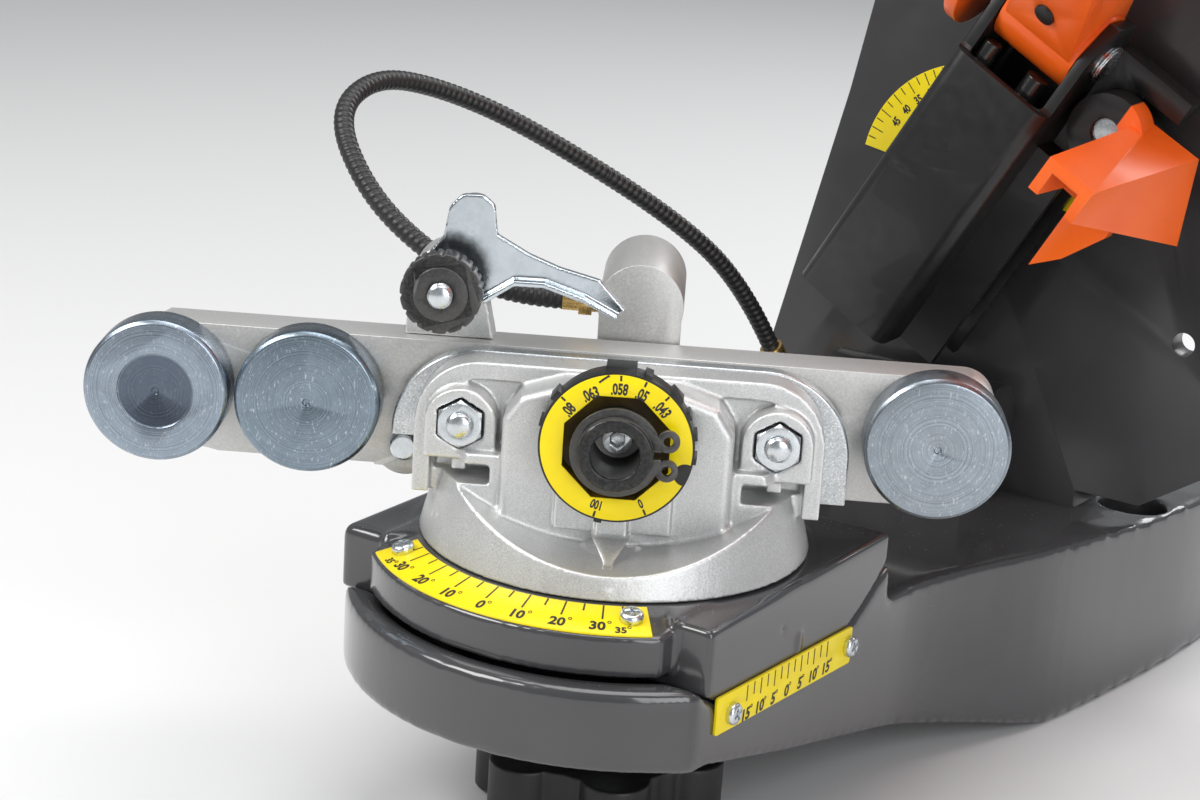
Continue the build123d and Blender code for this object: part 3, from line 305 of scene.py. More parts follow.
def mat_ink():
    m = NT("black_print")
    o = m.obj()
    col = m.mix(m.noise(o, 0.4, 2), (0.010, 0.010, 0.010), (0.022, 0.021, 0.020))
    m.to(col, "Base Color")
    m.to(m.maprange(m.noise(o, 1.0, 2), 0.3, 0.7, 0.4, 0.55), "Roughness")
    return m.mat


def mat_black(name, base=0.012, rough=(0.36, 0.46), grain=0.5, bump=0.15, coat=0.0, metal=0.0, spec=0.5):
    m = NT(name)
    o = m.obj()
    col = m.mix(m.maprange(m.noise(o, 12, 3), 0.3, 0.7, 0, 1), (base * 0.85,) * 3, (base * 1.25,) * 3)
    m.to(col, "Base Color")
    m.to(m.maprange(m.noise(o, 4, 3), 0.3, 0.7, rough[0], rough[1]), "Roughness")
    m.set(Coat_Weight=coat, Metallic=metal, Specular_IOR_Level=spec)
    m.to(m.bump(m.noise(o, grain, 2, 0.6), bump, 0.06), "Normal")
    return m.mat


def mat_oxide():
    m = NT("black_oxide")
    o = m.obj()
    n = m.noise(o, 0.8, 4, 0.7)
    edge = m.maprange(m.pointy(), 0.51, 0.58, 0, 1)
    col = m.mix(m.maprange(n, 0.35, 0.7, 0, 1), (0.020, 0.020, 0.021), (0.060, 0.059, 0.058))
    col = m.mix(m.math("MULTIPLY", edge, 0.5), col, (0.35, 0.34, 0.33))
    m.to(col, "Base Color")
    m.set(Metallic=0.75)
    m.to(m.maprange(n, 0.3, 0.7, 0.28, 0.45), "Roughness")
    m.to(m.bump(m.noise(o, 0.35, 2, 0.6), 0.22, 0.05), "Normal")
    return m.mat


def mat_orange():
    m = NT("orange_plastic")
    o = m.obj()
    col = m.mix(m.maprange(m.noise(o, 25, 3), 0.3, 0.7, 0, 1), (0.90, 0.125, 0.008), (0.98, 0.155, 0.012))
    m.to(col, "Base Color")
    m.to(m.maprange(m.noise(o, 6, 3), 0.3, 0.7, 0.30, 0.40), "Roughness")
    m.set(Specular_IOR_Level=0.5, Coat_Weight=0.10, Coat_Roughness=0.2)
    m.to(m.bump(m.noise(o, 0.7, 2, 0.55), 0.08, 0.06), "Normal")
    return m.mat


def mat_lever(centre, axis):
    """Orange plastic whose hub, on the side towards the column, is black."""
    m = NT("lever_plastic")
    o = m.obj()
    across = m.vmath("DOT_PRODUCT", m.vmath("SUBTRACT", o, tuple(centre)), tuple(axis))
    hub = m.maprange(across, 0.0001, 0.0003, 1, 0)
    col = m.mix(m.maprange(m.noise(o, 25, 3), 0.3, 0.7, 0, 1), (0.90, 0.125, 0.008), (0.98, 0.155, 0.012))
    col = m.mix(hub, col, (0.012, 0.012, 0.012))
    m.to(col, "Base Color")
    m.to(m.maprange(m.noise(o, 6, 3), 0.3, 0.7, 0.30, 0.40), "Roughness")
    m.set(Specular_IOR_Level=0.5, Coat_Weight=0.10, Coat_Roughness=0.2)
    m.to(m.bump(m.noise(o, 0.7, 2, 0.55), 0.08, 0.06), "Normal")
    return m.mat


def mat_dial(centre, axis):
    """Black plastic, with a brown tint inside the label's opening."""
    m = NT("dial_black")
    o = m.obj()
    rel = m.vmath("SUBTRACT", o, tuple(centre))
    along = m.vmath("DOT_PRODUCT", rel, tuple(axis))
    ax = m.n.new("ShaderNodeVectorMath")
    ax.operation = "SCALE"
    ax.inputs[0].default_value = tuple(axis)
    m.link(along, ax.inputs["Scale"])
    r = m.vmath("LENGTH", m.vmath("SUBTRACT", rel, ax.outputs[0]))
    rmm = m.math("MULTIPLY", r, 1000.0)
    col = m.mix(m.maprange(m.noise(o, 12, 3), 0.3, 0.7, 0, 1), (0.0094, 0.0094, 0.0094), (0.0138, 0.0138, 0.0138))
    inside = m.math("MULTIPLY", m.maprange(rmm, 13.6, 14.2, 1, 0), m.maprange(rmm, 8.6, 11.5, 0.35, 1))
    brown = m.mix(m.maprange(m.noise(o, 5, 3), 0.3, 0.7, 0, 1), (0.060, 0.036, 0.004), (0.115, 0.070, 0.006))
    col = m.mix(inside, col, brown)
    m.to(col, "Base Color")
    m.to(m.maprange(m.noise(o, 4, 3), 0.3, 0.7, 0.34, 0.46), "Roughness")
    m.to(m.bump(m.noise(o, 0.4, 2, 0.6), 0.14, 0.06), "Normal")
    return m.mat


def mat_turned(name, centre, axis, base=(0.50, 0.535, 0.58), pitch=0.32, rough=(0.18, 0.36), dark=0.0, dark_r=0.0):
    """Lathe-turned steel: concentric marks about the axis, given in the row frame."""
    m = NT(name)
    o = m.obj()
    rel = m.vmath("SUBTRACT", o, tuple(centre))
    along = m.vmath("DOT_PRODUCT", rel, tuple(axis))
    ax = m.n.new("ShaderNodeVectorMath")
    ax.operation = "SCALE"
    ax.inputs[0].default_value = tuple(axis)
    m.link(along, ax.inputs["Scale"])
    perp = m.vmath("SUBTRACT", rel, ax.outputs[0])
    r = m.vmath("LENGTH", perp)
    rmm = m.math("MULTIPLY", r, 1000.0)
    # concentric noise: one-dimensional noise of the radius, with a little drift round the circle
    nz = m.n.new("ShaderNodeTexNoise")
    nz.noise_dimensions = "1D"
    nz.inputs["Scale"].default_value = 1.0 / pitch
    nz.inputs["Detail"].default_value = 5
    nz.inputs["Roughness"].default_value = 0.75
    wob = m.noise(o, 5.0, 3)
    m.link(m.math("ADD", rmm, m.math("MULTIPLY", wob, 0.5)), nz.inputs["W"])
    n1 = nz.outputs["Fac"]
    n2 = m.noise(o, 3.0, 4, 0.6)
    col = m.mix(m.maprange(n1, 0.25, 0.75, 0, 1), tuple(c * 0.62 for c in base), tuple(min(1, c * 1.25) for c in base))
    col = m.mix(m.maprange(n2, 0.4, 0.75, 0, 0.4), col, tuple(c * 0.6 for c in base))
    # fine crossing scratches
    sc = m.n.new("ShaderNodeTexNoise")
    sc.inputs["Scale"].default_value = 1.0
    sc.inputs["Detail"].default_value = 3
    m.link(m.mapping(o, (2600, 260, 900), rot=(0.3, 0.5, 0.7)), sc.inputs["Vector"])
    col = m.mix(m.maprange(sc.outputs["Fac"], 0.60, 0.70, 0, 0.45), col, (0.80, 0.84, 0.88))
    if dark_r:
        col = m.mix(m.math("MULTIPLY", m.maprange(rmm, dark_r - 0.35, dark_r, 1, 0), dark), col, (0.05, 0.065, 0.10))
    m.to(col, "Base Color")
    m.set(Metallic=1.0)
    m.to(m.maprange(n1, 0.3, 0.7, rough[0], rough[1]), "Roughness")
    m.to(m.bump(n1, 0.5, 0.05), "Normal")
    return m.mat


def mat_rubber(name="hose_rubber", base=0.014):
    m = NT(name)
    o = m.obj()
    col = m.mix(m.maprange(m.noise(o, 8, 3), 0.3, 0.7, 0, 1), (base,) * 3, (base * 1.6,) * 3)
    m.to(col, "Base Color")
    m.to(m.maprange(m.noise(o, 2, 3), 0.3, 0.7, 0.34, 0.48), "Roughness")
    m.set(Specular_IOR_Level=0.5)
    m.to(m.bump(m.noise(o, 0.5, 2), 0.12, 0.05), "Normal")
    return m.mat


def mat_brass():
    m = NT("brass")
    o = m.obj()
    col = m.mix(m.maprange(m.noise(o, 2, 3), 0.3, 0.7, 0, 1), (0.62, 0.40, 0.13), (0.80, 0.56, 0.22))
    m.to(col, "Base Color")
    m.set(Metallic=1.0)
    m.to(m.maprange(m.noise(o, 0.8, 3), 0.3, 0.7, 0.22, 0.34), "Roughness")
    m.to(m.bump(m.noise(o, 0.4, 2), 0.12, 0.04), "Normal")
    return m.mat


def mat_abrasive():
    m = NT("abrasive")
    o = m.obj()
    v = m.voronoi(o, 0.45, out="Color")
    s = m.n.new("ShaderNodeSeparateColor")
    m.link(v, s.inputs[0])
    col = m.ramp(s.outputs[0], [(0.0, (0.20, 0.085, 0.07)), (0.5, (0.36, 0.16, 0.13)), (0.93, (0.50, 0.28, 0.24)), (1.0, (0.85, 0.80, 0.78))])
    m.to(col, "Base Color")
    m.to(m.maprange(m.noise(o, 0.3, 2), 0.3, 0.7, 0.75, 0.95), "Roughness")
    m.to(m.bump(m.voronoi(o, 0.45), 0.7, 0.15), "Normal")
    return m.mat


def mat_copper(centre, axis):
    m = NT("copper_winding")
    o = m.obj()
    rel = m.vmath("SUBTRACT", o, tuple(centre))
    along = m.math("MULTIPLY", m.vmath("DOT_PRODUCT", rel, tuple(axis)), 1000.0)
    w = m.math("SINE", m.math("MULTIPLY", along, 2 * pi / 0.7))
    ends = m.maprange(m.math("ABSOLUTE", along), 14.0, 14.4, 0, 1)
    col = m.mix(ends, (0.20, 0.20, 0.21), (0.55, 0.20, 0.07))
    m.to(col, "Base Color")
    m.set(Metallic=0.9)
    m.to(m.maprange(w, -1, 1, 0.3, 0.5), "Roughness")
    m.to(m.bump(w, 0.4, 0.12), "Normal")
    return m.mat


def mat_lens_red():
    m = NT("red_plastic")
    o = m.obj()
    col = m.mix(m.noise(o, 6, 3), (0.50, 0.008, 0.008), (0.62, 0.014, 0.012))
    m.to(col, "Base Color")
    m.to(m.maprange(m.noise(o, 3, 3), 0.3, 0.7, 0.2, 0.3), "Roughness")
    m.set(Coat_Weight=0.3, Coat_Roughness=0.1)
    m.to(m.bump(m.noise(o, 0.8, 2), 0.05, 0.05), "Normal")
    return m.mat


def P(frame_m, x, y, z):
    return frame_m @ Vector((x, y, z))


def D(frame_m, x, y, z):
    return ((frame_m @ Vector((x, y, z))) - (frame_m @ Vector((0, 0, 0)))).normalized()


MAT["grey_enamel"] = mat_enamel()
MAT["bracket_enamel"] = mat_bracket()
MAT["cast_aluminium"] = mat_cast("cast_aluminium")
MAT["plain_aluminium"] = mat_cast("plain_aluminium", (0.50, 0.495, 0.475), 0.6, (0.40, 0.52), 0.8, 0.18)
MAT["zinc"] = mat_zinc()
MAT["zinc_speckled"] = mat_zinc("zinc_speckled", (0.60, 0.625, 0.635), (0.30, 0.46), 0.62)
MAT["zinc_pawl"] = mat_zinc("zinc_pawl", (0.66, 0.72, 0.76), (0.14, 0.24))
MAT["yellow_plate"] = mat_yellow()
MAT["black_print"] = mat_ink()
MAT["black_plastic"] = mat_black("black_plastic", 0.012, (0.38, 0.50), 0.5, 0.16)
MAT["column_black"] = mat_black("column_black", 0.010, (0.30, 0.42), 0.8, 0.10, 0.15)
MAT["dial_black"] = mat_dial(P(VISE, 0, 0, 32), D(VISE, 0, 1, 0))
MAT["lever_plastic"] = mat_lever(P(COL, 29.4, 0, 0), D(COL, 1, 0, 0))
MAT["post_black"] = mat_black("post_black", 0.010, (0.16, 0.24), 0.6, 0.08, 0.4)
MAT["black_paint"] = mat_black("black_paint", 0.014, (0.26, 0.36), 1.2, 0.08, 0.4)
MAT["grip_rubber"] = mat_black("grip_rubber", 0.016, (0.55, 0.7), 0.4, 0.3)
MAT["black_oxide"] = mat_oxide()
MAT["orange_plastic"] = mat_orange()
MAT["hose_rubber"] = mat_rubber()
MAT["brass"] = mat_brass()
MAT["abrasive"] = mat_abrasive()
MAT["red_plastic"] = mat_lens_red()
MAT["copper_winding"] = mat_copper(P(HEAD, 55, 0, 84.5), D(HEAD, 1, 0, 0))
MAT["turned_shaft"] = mat_turned("turned_shaft", P(HEAD, 0, 0, 84.5), D(HEAD, 1, 0, 0), (0.55, 0.56, 0.58), 0.5)
YV = D(VISE, 0, 1, 0)
MAT["disc_outer"] = mat_turned("disc_outer", P(VISE, -109.5, 0, 29), YV, (0.34, 0.40, 0.47), 0.42, (0.20, 0.38), 0.72, 9.0)
MAT["disc_inner"] = mat_turned("disc_inner", P(VISE, -73.8, 0, 29), YV, (0.26, 0.325, 0.385), 0.36, (0.20, 0.38))
MAT["disc_right"] = mat_turned("disc_right", P(VISE, 74.0, 0, 29), YV, (0.34, 0.385, 0.43), 0.50, (0.22, 0.40))
MAT["turned_steel"] = MAT["turned_shaft"]


# ---------------------------------------------------------------- mesh helpers
def link(ob):
    bpy.context.scene.collection.objects.link(ob)
    return ob


def settle(ob, mat, body, smooth=35.0):
    """Give a finished object its material and its body."""
    ob.data.materials.clear()
    ob.data.materials.append(MAT[mat] if isinstance(mat, str) else mat)
    if ob.type == "MESH" and smooth is not None:
        for p in ob.data.polygons:
            p.use_smooth = True
        ob.data.set_sharp_from_angle(angle=radians(smooth))
    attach(ob, body)
    return ob


def mesh_from(name, verts, faces, m):
    me = bpy.data.meshes.new(name)
    me.from_pydata([tuple(m @ Vector(v)) for v in verts], [], faces)
    me.validate()
    bm = bmesh.new()
    bm.from_mesh(me)
    bmesh.ops.recalc_face_normals(bm, faces=bm.faces)
    bm.to_mesh(me)
    bm.free()
    return link(bpy.data.objects.new(name, me))


def evaluated(ob):
    bpy.context.view_layer.update()
    dg = bpy.context.evaluated_depsgraph_get()
    me = bpy.data.meshes.new_from_object(ob.evaluated_get(dg))
    ob.modifiers.clear()
    ob.data = me
    return ob


def welded(node, name):
    """A free copy of a node's mesh with the seams between its faces closed."""
    me = NODES[node].data.copy()
    me.name = name
    bm = bmesh.new()
    bm.from_mesh(me)
    bmesh.ops.remove_doubles(bm, verts=bm.verts, dist=2e-6)
    bmesh.ops.dissolve_degenerate(bm, edges=bm.edges, dist=1e-6)
    bm.to_mesh(me)
    bm.free()
    if hasattr(me, "free_normals_split"):
        try:
            me.free_normals_split()
        except Exception:
            pass
    ob = bpy.data.objects.new(name, me)
    return link(ob)


def bevelled(node, width_mm, segs=2, mat=None, angle=32.0, name=None, dissolve=1.2):
    """The node's shape with every sharp edge broken, standing in its place."""
    ob = welded(node, name or node + "_b")
    bm = bmesh.new()
    bm.from_mesh(ob.data)
    bmesh.ops.dissolve_limit(bm, angle_limit=radians(dissolve), use_dissolve_boundaries=False,
                             verts=bm.verts, edges=bm.edges, delimit={"NORMAL"})
    bm.to_mesh(ob.data)
    bm.free()
    b = ob.modifiers.new("b", "BEVEL")
    b.width = width_mm / 1000
    b.segments = segs
    b.limit_method = "ANGLE"
    b.angle_limit = radians(angle)
    b.use_clamp_overlap = True
    b.harden_normals = False
    b.miter_outer = "MITER_ARC"
    evaluated(ob)
    settle(ob, mat, body_of(node), 40)
    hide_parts(node)
    return ob


def cast_skin(node, voxel_mm, rounds, mat, name=None, extra=None, factor=0.5, pre=0.0):
    """The node's shape with softly rounded corners, as a casting or a painted part has them."""
    ob = welded(node, name or node + "_skin")
    if extra:
        extra(ob)
    if pre:
        b = ob.modifiers.new("b", "BEVEL")
        b.width = pre / 1000
        b.segments = 3
        b.limit_method = "ANGLE"
        b.angle_limit = radians(30)
    r = ob.modifiers.new("r", "REMESH")
    r.mode = "VOXEL"
    r.voxel_size = voxel_mm / 1000
    r.use_smooth_shade = True
    s = ob.modifiers.new("s", "SMOOTH")
    s.factor = factor
    s.iterations = rounds
    evaluated(ob)
    settle(ob, mat, body_of(node), None)
    for p in ob.data.polygons:
        p.use_smooth = True
    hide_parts(node)
    return ob


def keep(node, mat, smooth=35.0):
    ob = NODES[node]
    ob.data.materials.clear()
    ob.data.materials.append(MAT[mat])
    return ob


def lathe(name, profile, m, seg=64, close=False):
    """profile: (radius, height) pairs turned about the local z axis."""
    verts, faces = [], []
    n = len(profile)
    for k in range(seg):
        a = 2 * pi * k / seg
        for r, z in profile:
            verts.append((r * cos(a), r * sin(a), z))
    for k in range(seg):
        k2 = (k + 1) % seg
        for i in range(n - (0 if close else 1)):
            j = (i + 1) % n
            faces.append((k * n + i, k2 * n + i, k2 * n + j, k * n + j))
    ob = mesh_from(name, verts, faces, m)
    bm = bmesh.new()
    bm.from_mesh(ob.data)
    bmesh.ops.remove_doubles(bm, verts=bm.verts, dist=1e-7)
    bmesh.ops.dissolve_degenerate(bm, edges=bm.edges, dist=1e-8)
    bmesh.ops.recalc_face_normals(bm, faces=bm.faces)
    bm.to_mesh(ob.data)
    bm.free()
    return ob


def joined(name, obs):
    """One object out of several finished meshes."""
    bm = bmesh.new()
    for o in obs:
        me = o.data.copy()
        me.transform(o.matrix_world)
        bm.from_mesh(me)
        bpy.data.meshes.remove(me)
    me = bpy.data.meshes.new(name)
    bm.to_mesh(me)
    bm.free()
    for o in obs:
        bpy.data.objects.remove(o)
    return link(bpy.data.objects.new(name, me))


# ---------------------------------------------------------------- hoses
HOSE = [(-23.79, 8.20, 51.5), (-36.35, 0.95, 51.5), (-57.0, -1.0, 57.5), (-77.0, -1.0, 69.5), (-95.0, 8.0, 85.5),
        (-99.5, 30.0, 92.0), (-95.0, 54.0, 86.5), (-82.0, 77.0, 75.0), (-54.0, 112.0, 48.5), (-42.5, 132.0, 28.0),
        (-37.5, 142.0, 9.0)]
HMID = tuple((HOSE[7][k] + HOSE[8][k]) / 2 for k in range(3))


def nurbs_line(name, pts):
    cu = bpy.data.curves.new(name, "CURVE")
    cu.dimensions = "3D"
    sp = cu.splines.new("NURBS")
    sp.points.add(len(pts) - 1)
    for i, p in enumerate(pts):
        sp.points[i].co = (*(ARM @ Vector(p)), 1.0)
    sp.order_u = 3
    sp.use_endpoint_u = True
    sp.resolution_u = 24
    ob = link(bpy.data.objects.new(name, cu))
    bpy.context.view_layer.update()
    me = bpy.data.meshes.new_from_object(ob.evaluated_get(bpy.context.evaluated_depsgraph_get()))
    line = [v.co.copy() for v in me.vertices]
    bpy.data.meshes.remove(me)
    bpy.data.objects.remove(ob)
    return line


def resample(line, step):
    acc = [0.0]
    for a, b in zip(line, line[1:]):
        acc.append(acc[-1] + (b - a).length)
    n = max(2, int(round(acc[-1] / step)))
    out, j = [], 0
    for k in range(n + 1):
        s = acc[-1] * k / n
        while j < len(acc) - 2 and acc[j + 1] < s:
            j += 1
        t = (s - acc[j]) / max(1e-12, acc[j + 1] - acc[j])
        out.append(line[j].lerp(line[j + 1], min(1, max(0, t))))
    return out, acc[-1]


def ribbed_tube(name, line, r_mm, pitch_mm, depth_mm, seg=20, per=6, start_phase=0.0, hand=1):
    """A hose sheath wound from a flat strip: a shallow spiral of ribs along the line."""
    path, length = resample(line, pitch_mm / per / 1000)
    n = len(path)
    tang = [(path[min(i + 1, n - 1)] - path[max(i - 1, 0)]).normalized() for i in range(n)]
    ref = Vector((0, 0, 1)) if abs(tang[0].z) < 0.9 else Vector((1, 0, 0))
    nrm = (ref - tang[0] * ref.dot(tang[0])).normalized()
    verts, faces = [], []
    for i in range(n):
        nrm = (nrm - tang[i] * nrm.dot(tang[i])).normalized()
        bi = tang[i].cross(nrm)
        for k in range(seg):
            a = 2 * pi * k / seg
            ph = (i / per + start_phase + hand * k / seg) % 1.0
            rise = 1.0 - abs(2 * ph - 1.0) ** 2.6
            rr = (r_mm - depth_mm * (1 - rise)) / 1000
            verts.append(path[i] + (nrm * cos(a) + bi * sin(a)) * rr)
    for i in range(n - 1):
        for k in range(seg):
            k2 = (k + 1) % seg
            faces.append((i * seg + k, i * seg + k2, (i + 1) * seg + k2, (i + 1) * seg + k))
    for i, flip in ((0, True), (n - 1, False)):
        ring = [i * seg + k for k in range(seg)]
        faces.append(tuple(reversed(ring)) if flip else tuple(ring))
    me = bpy.data.meshes.new(name)
    me.from_pydata([tuple(v) for v in verts], [], faces)
    ob = link(bpy.data.objects.new(name, me))
    return ob, path, length


front_line = nurbs_line("front_line", HOSE[:8] + [HMID])
rear_line = nurbs_line("rear_line", [HMID] + HOSE[8:])
hose_a, path_a, len_a = ribbed_tube("hose_front_sheath", front_line, 2.6, 1.9, 0.42)
hose_b, path_b, len_b = ribbed_tube("hose_rear_sheath", rear_line, 2.6, 1.9, 0.42)


def finish_hose(ob, node):
    ob.data.materials.append(MAT["hose_rubber"])
    for p in ob.data.polygons:
        p.use_smooth = True
    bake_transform(ob)
    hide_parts(node)


finish_hose(hose_a, "hose_front")
finish_hose(hose_b, "hose_rear")
# ---------------------------------------------------------------- bodies in painted and cast metal
cast_skin("arm_casting", 1.2, 9, "grey_enamel", "arm_casting_skin", pre=1.2)
cast_skin("cradle_block", 0.75, 6, "grey_enamel", "cradle_block_skin", pre=0.5)
cast_skin("vise_body", 0.46, 4, "cast_aluminium", "vise_body_skin")
cast_skin("stop_bracket", 0.4, 4, "cast_aluminium", "stop_bracket_skin")
cast_skin("master_cylinder", 0.5, 3, "black_paint", "master_cylinder_skin")
cast_skin("lock_knob", 0.55, 4, "black_plastic", "lock_knob_skin")
cast_skin("chain_stop_pawl", 0.26, 5, "zinc_pawl", "pawl_skin")
bevelled("upright_bracket", 0.7, 2, "bracket_enamel")
for node, w, mat, slot in [
    ("bracket_bolts", 0.35, "zinc", "zinc"), ("side_scale_plate", 0.12, "yellow_plate", "yellow_plate"),
    ("side_scale_screws", 0.16, "zinc", "zinc"), ("head_scale_plate", 0.1, "yellow_plate", "yellow_plate"),
    ("hose_elbow", 0.2, "brass", "brass"), ("tilt_pivot_hardware", 0.4, "zinc", "zinc"),
    ("arc_scale_plate", 0.1, "yellow_plate", "yellow_plate"), ("arc_scale_screws", 0.16, "zinc", "zinc"),
    ("lock_stud", 0.3, "zinc", "zinc"), ("rear_jaw_bar", 0.5, "plain_aluminium", "plain_aluminium"),
    ("jaw_nuts", 0.22, "zinc", "zinc"), ("bar_pins", 0.25, "zinc", "zinc"),
    ("dial_spindle", 0.3, "black_oxide", "black_oxide"), ("spindle_circlip", 0.16, "black_oxide", "black_oxide"),
    ("spindle_screw", 0.15, "zinc", "zinc"), ("clamp_cylinder", 0.4, "plain_aluminium", "plain_aluminium"),
    ("brass_fitting", 0.25, "brass", "brass"), ("front_jaw_plate", 0.4, "zinc_speckled", "zinc"),
    ("clamp_ram", 0.2, "turned_shaft", "turned_steel"),
    ("chain_disc_outer", 0.22, "disc_outer", "turned_steel"), ("chain_disc_inner", 0.22, "disc_inner", "turned_steel"),
    ("chain_disc_right", 0.22, "disc_right", "turned_steel"),
    ("gauge_dial", 0.25, "dial_black", "black_plastic"), ("dial_label", 0.06, "yellow_plate", "yellow_plate"),
    ("thumbwheel", 0.16, "black_oxide", "black_oxide"),
    ("tilt_column", 0.5, "column_black", "black_plastic"), ("hinge_pin", 0.2, "zinc", "turned_steel"), ("hinge_cap", 0.3, "orange_plastic", "orange_plastic"),
    ("rest_posts", 0.3, "post_black", "black_oxide"), ("tilt_lock_stud", 0.25, "zinc", "zinc"),
    ("cover_screws", 0.12, "zinc", "zinc"), ("wheel_flanges", 0.3, "turned_shaft", "turned_steel"),
    ("grinding_wheel", 0.4, "abrasive", "abrasive"), ("wheel_nut", 0.3, "zinc", "zinc"),
    ("rotor_shaft", 0.3, "turned_shaft", "turned_steel"), ("stator", 0.3, "copper_winding", "copper_winding"),
    ("motor_bearings", 0.25, "turned_shaft", "turned_steel"), ("cable_gland", 0.3, "black_plastic", "black_plastic"),
    ("rocker_switch", 0.35, "red_plastic", "red_plastic"), ("depth_stop_screw", 0.25, "black_plastic", "black_plastic"),
    ("handle_bracket", 0.6, "black_paint", "black_paint"), ("handle_grip", 0.5, "grip_rubber", "grip_rubber"),
    ("housing_cover", 0.3, "black_plastic", "black_plastic"), ("motor_end_cap", 0.5, "black_plastic", "black_plastic"),
    ("tilt_lock_lever", 0.6, "lever_plastic", "orange_plastic"), ("swing_arm", 0.7, "orange_plastic", "orange_plastic"),
    ("wheel_housing", 0.6, "orange_plastic", "orange_plastic"), ("motor_housing", 0.5, "orange_plastic", "orange_plastic"),
]:
    bevelled(node, w, 2, mat)


# ---------------------------------------------------------------- threads
def threaded(name, frame_m, x, z, y0, y1, r, pitch, depth=None, tail=None, bevel=0.6, seg=28, per=8):
    """A stud along the frame's y axis: threaded from y0 to y1 with a bevelled tip at y0, plain beyond."""
    depth = depth or pitch * 0.55
    n = int((y1 - y0) / pitch * per)
    rows = []
    for i in range(n + 1):
        y = y0 + (y1 - y0) * i / n
        rows.append((y, i, True))
    verts, faces = [], []
    for y, i, th in rows:
        lim = r - max(0.0, bevel - (y - y0))
        for k in range(seg):
            a = 2 * pi * k / seg
            ph = (i / per + k / seg) % 1.0
            rise = 1.0 - abs(2 * ph - 1.0)
            rr = min(r - depth * (1 - min(1.0, rise * 1.25)), lim)
            if y > y1 - pitch:
                rr = min(rr, r - depth * (1 - min(1.0, rise * 1.25)))
            verts.append((x + rr * cos(a), y, z + rr * sin(a)))
    cnt = len(rows)
    for (ya, ra) in (tail or []):
        for k in range(seg):
            a = 2 * pi * k / seg
            verts.append((x + ra * cos(a), ya, z + ra * sin(a)))
        cnt += 1
    for i in range(cnt - 1):
        for k in range(seg):
            k2 = (k + 1) % seg
            faces.append((i * seg + k, i * seg + k2, (i + 1) * seg + k2, (i + 1) * seg + k))
    faces.append(tuple(range(seg)))
    faces.append(tuple(reversed([(cnt - 1) * seg + k for k in range(seg)])))
    return mesh_from(name, verts, faces, frame_m)


studs = [threaded("s%d" % i, VISE, sx * 36.6, 30.0, -21.2, -8.0, 3.0, 1.0,
                  tail=[(-8.0, 2.9), (0.82, 2.9), (0.84, 2.5), (12.3, 2.5)]) for i, sx in enumerate((-1, 1))]
ob = joined("jaw_studs_threaded", studs)
settle(ob, "zinc", "turntable", 50)
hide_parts("jaw_studs")
ob = threaded("stop_rod_threaded", VISE, -43.2, 58.2, -13.6, 20.9, 2.94, 1.0)
settle(ob, "zinc", "turntable", 50)
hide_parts("stop_rod")


# ---------------------------------------------------------------- pointer
def pointer():
    """The cast pointer under the dial: a V with a stem, standing on the flared foot of the vise."""
    from mathutils.bvhtree import BVHTree
    skin = bpy.data.objects["vise_body_skin"]
    bpy.context.view_layer.update()
    tree = BVHTree.FromPolygons([skin.matrix_world @ v.co for v in skin.data.vertices], [tuple(p.vertices) for p in skin.data.polygons])
    out = D(VISE, 0, 1, 0)

    def foot(x, z):
        hit = tree.ray_cast(P(VISE, x, -75.0, z), out, 0.06)[0]
        return (VISE.inverted() @ hit).y if hit else -44.0

    rows, cols = 30, 8
    top, tip = 9.8, 1.4
    y_top, y_tip = foot(0, top) - 1.5, foot(0, tip) - 0.9
    across = (-1.0, -1.0, -0.78, -0.4, 0.0, 0.4, 0.78, 1.0, 1.0)
    drop = (None, 0.45, 0.08, 0.0, 0.0, 0.0, 0.08, 0.45, None)
    verts, faces = [], []
    for layer in (0, 1):
        for i in range(rows + 1):
            z = top + (tip - top) * i / rows
            t = max(0.0, (z - 6.0) / (top - 6.0))
            half = 1.1 + 3.5 * t ** 1.1 + 0.35 * max(0.0, (3.4 - z) / 2.0)
            line = y_top + (y_tip - y_top) * i / rows
            for q, d in zip(across, drop):
                x = half * q
                back = foot(x, z) + 0.3
                if layer == 1:
                    y = back + 0.5
                elif d is None or i in (0, rows):
                    y = back
                else:
                    y = min(line + max(d, 0.4 if i in (1, rows - 1) else 0.0), back)
                verts.append((x, y, z + (0.12 if i == 1 else -0.12 if i == rows - 1 else 0.0)))
    n = (rows + 1) * (cols + 1)
    for i in range(rows):
        for k in range(cols):
            a = i * (cols + 1) + k
            faces.append((a, a + 1, a + cols + 2, a + cols + 1))
            faces.append((n + a, n + a + cols + 1, n + a + cols + 2, n + a + 1))
    rim = [k for k in range(cols + 1)] + [i * (cols + 1) + cols for i in range(1, rows + 1)]
    rim += [rows * (cols + 1) + k for k in range(cols - 1, -1, -1)] + [i * (cols + 1) for i in range(rows - 1, 0, -1)]
    for a, b in zip(rim, rim[1:] + rim[:1]):
        faces.append((a, n + a, n + b, b))
    ob = mesh_from("vise_pointer", verts, faces, VISE)
    settle(ob, "cast_aluminium", "turntable", 50)


pointer()


# ---------------------------------------------------------------- printing
def glyph_mesh(text):
    cu = bpy.data.curves.new("glyph", "FONT")
    cu.body = text
    cu.size = 1.0
    cu.align_x = "CENTER"
    cu.resolution_u = 3
    cu.extrude = 0.01
    cu.offset = 0.034
    ob = link(bpy.data.objects.new("glyph", cu))
    bpy.context.view_layer.update()
    me = bpy.data.meshes.new_from_object(ob.evaluated_get(bpy.context.evaluated_depsgraph_get()))
    bpy.data.objects.remove(ob)
    v = [tuple(q.co) for q in me.vertices]
    f = [tuple(p.vertices) for p in me.polygons]
    bpy.data.meshes.remove(me)
    return v, f


CAP = max(v[1] for v in glyph_mesh("0")[0])


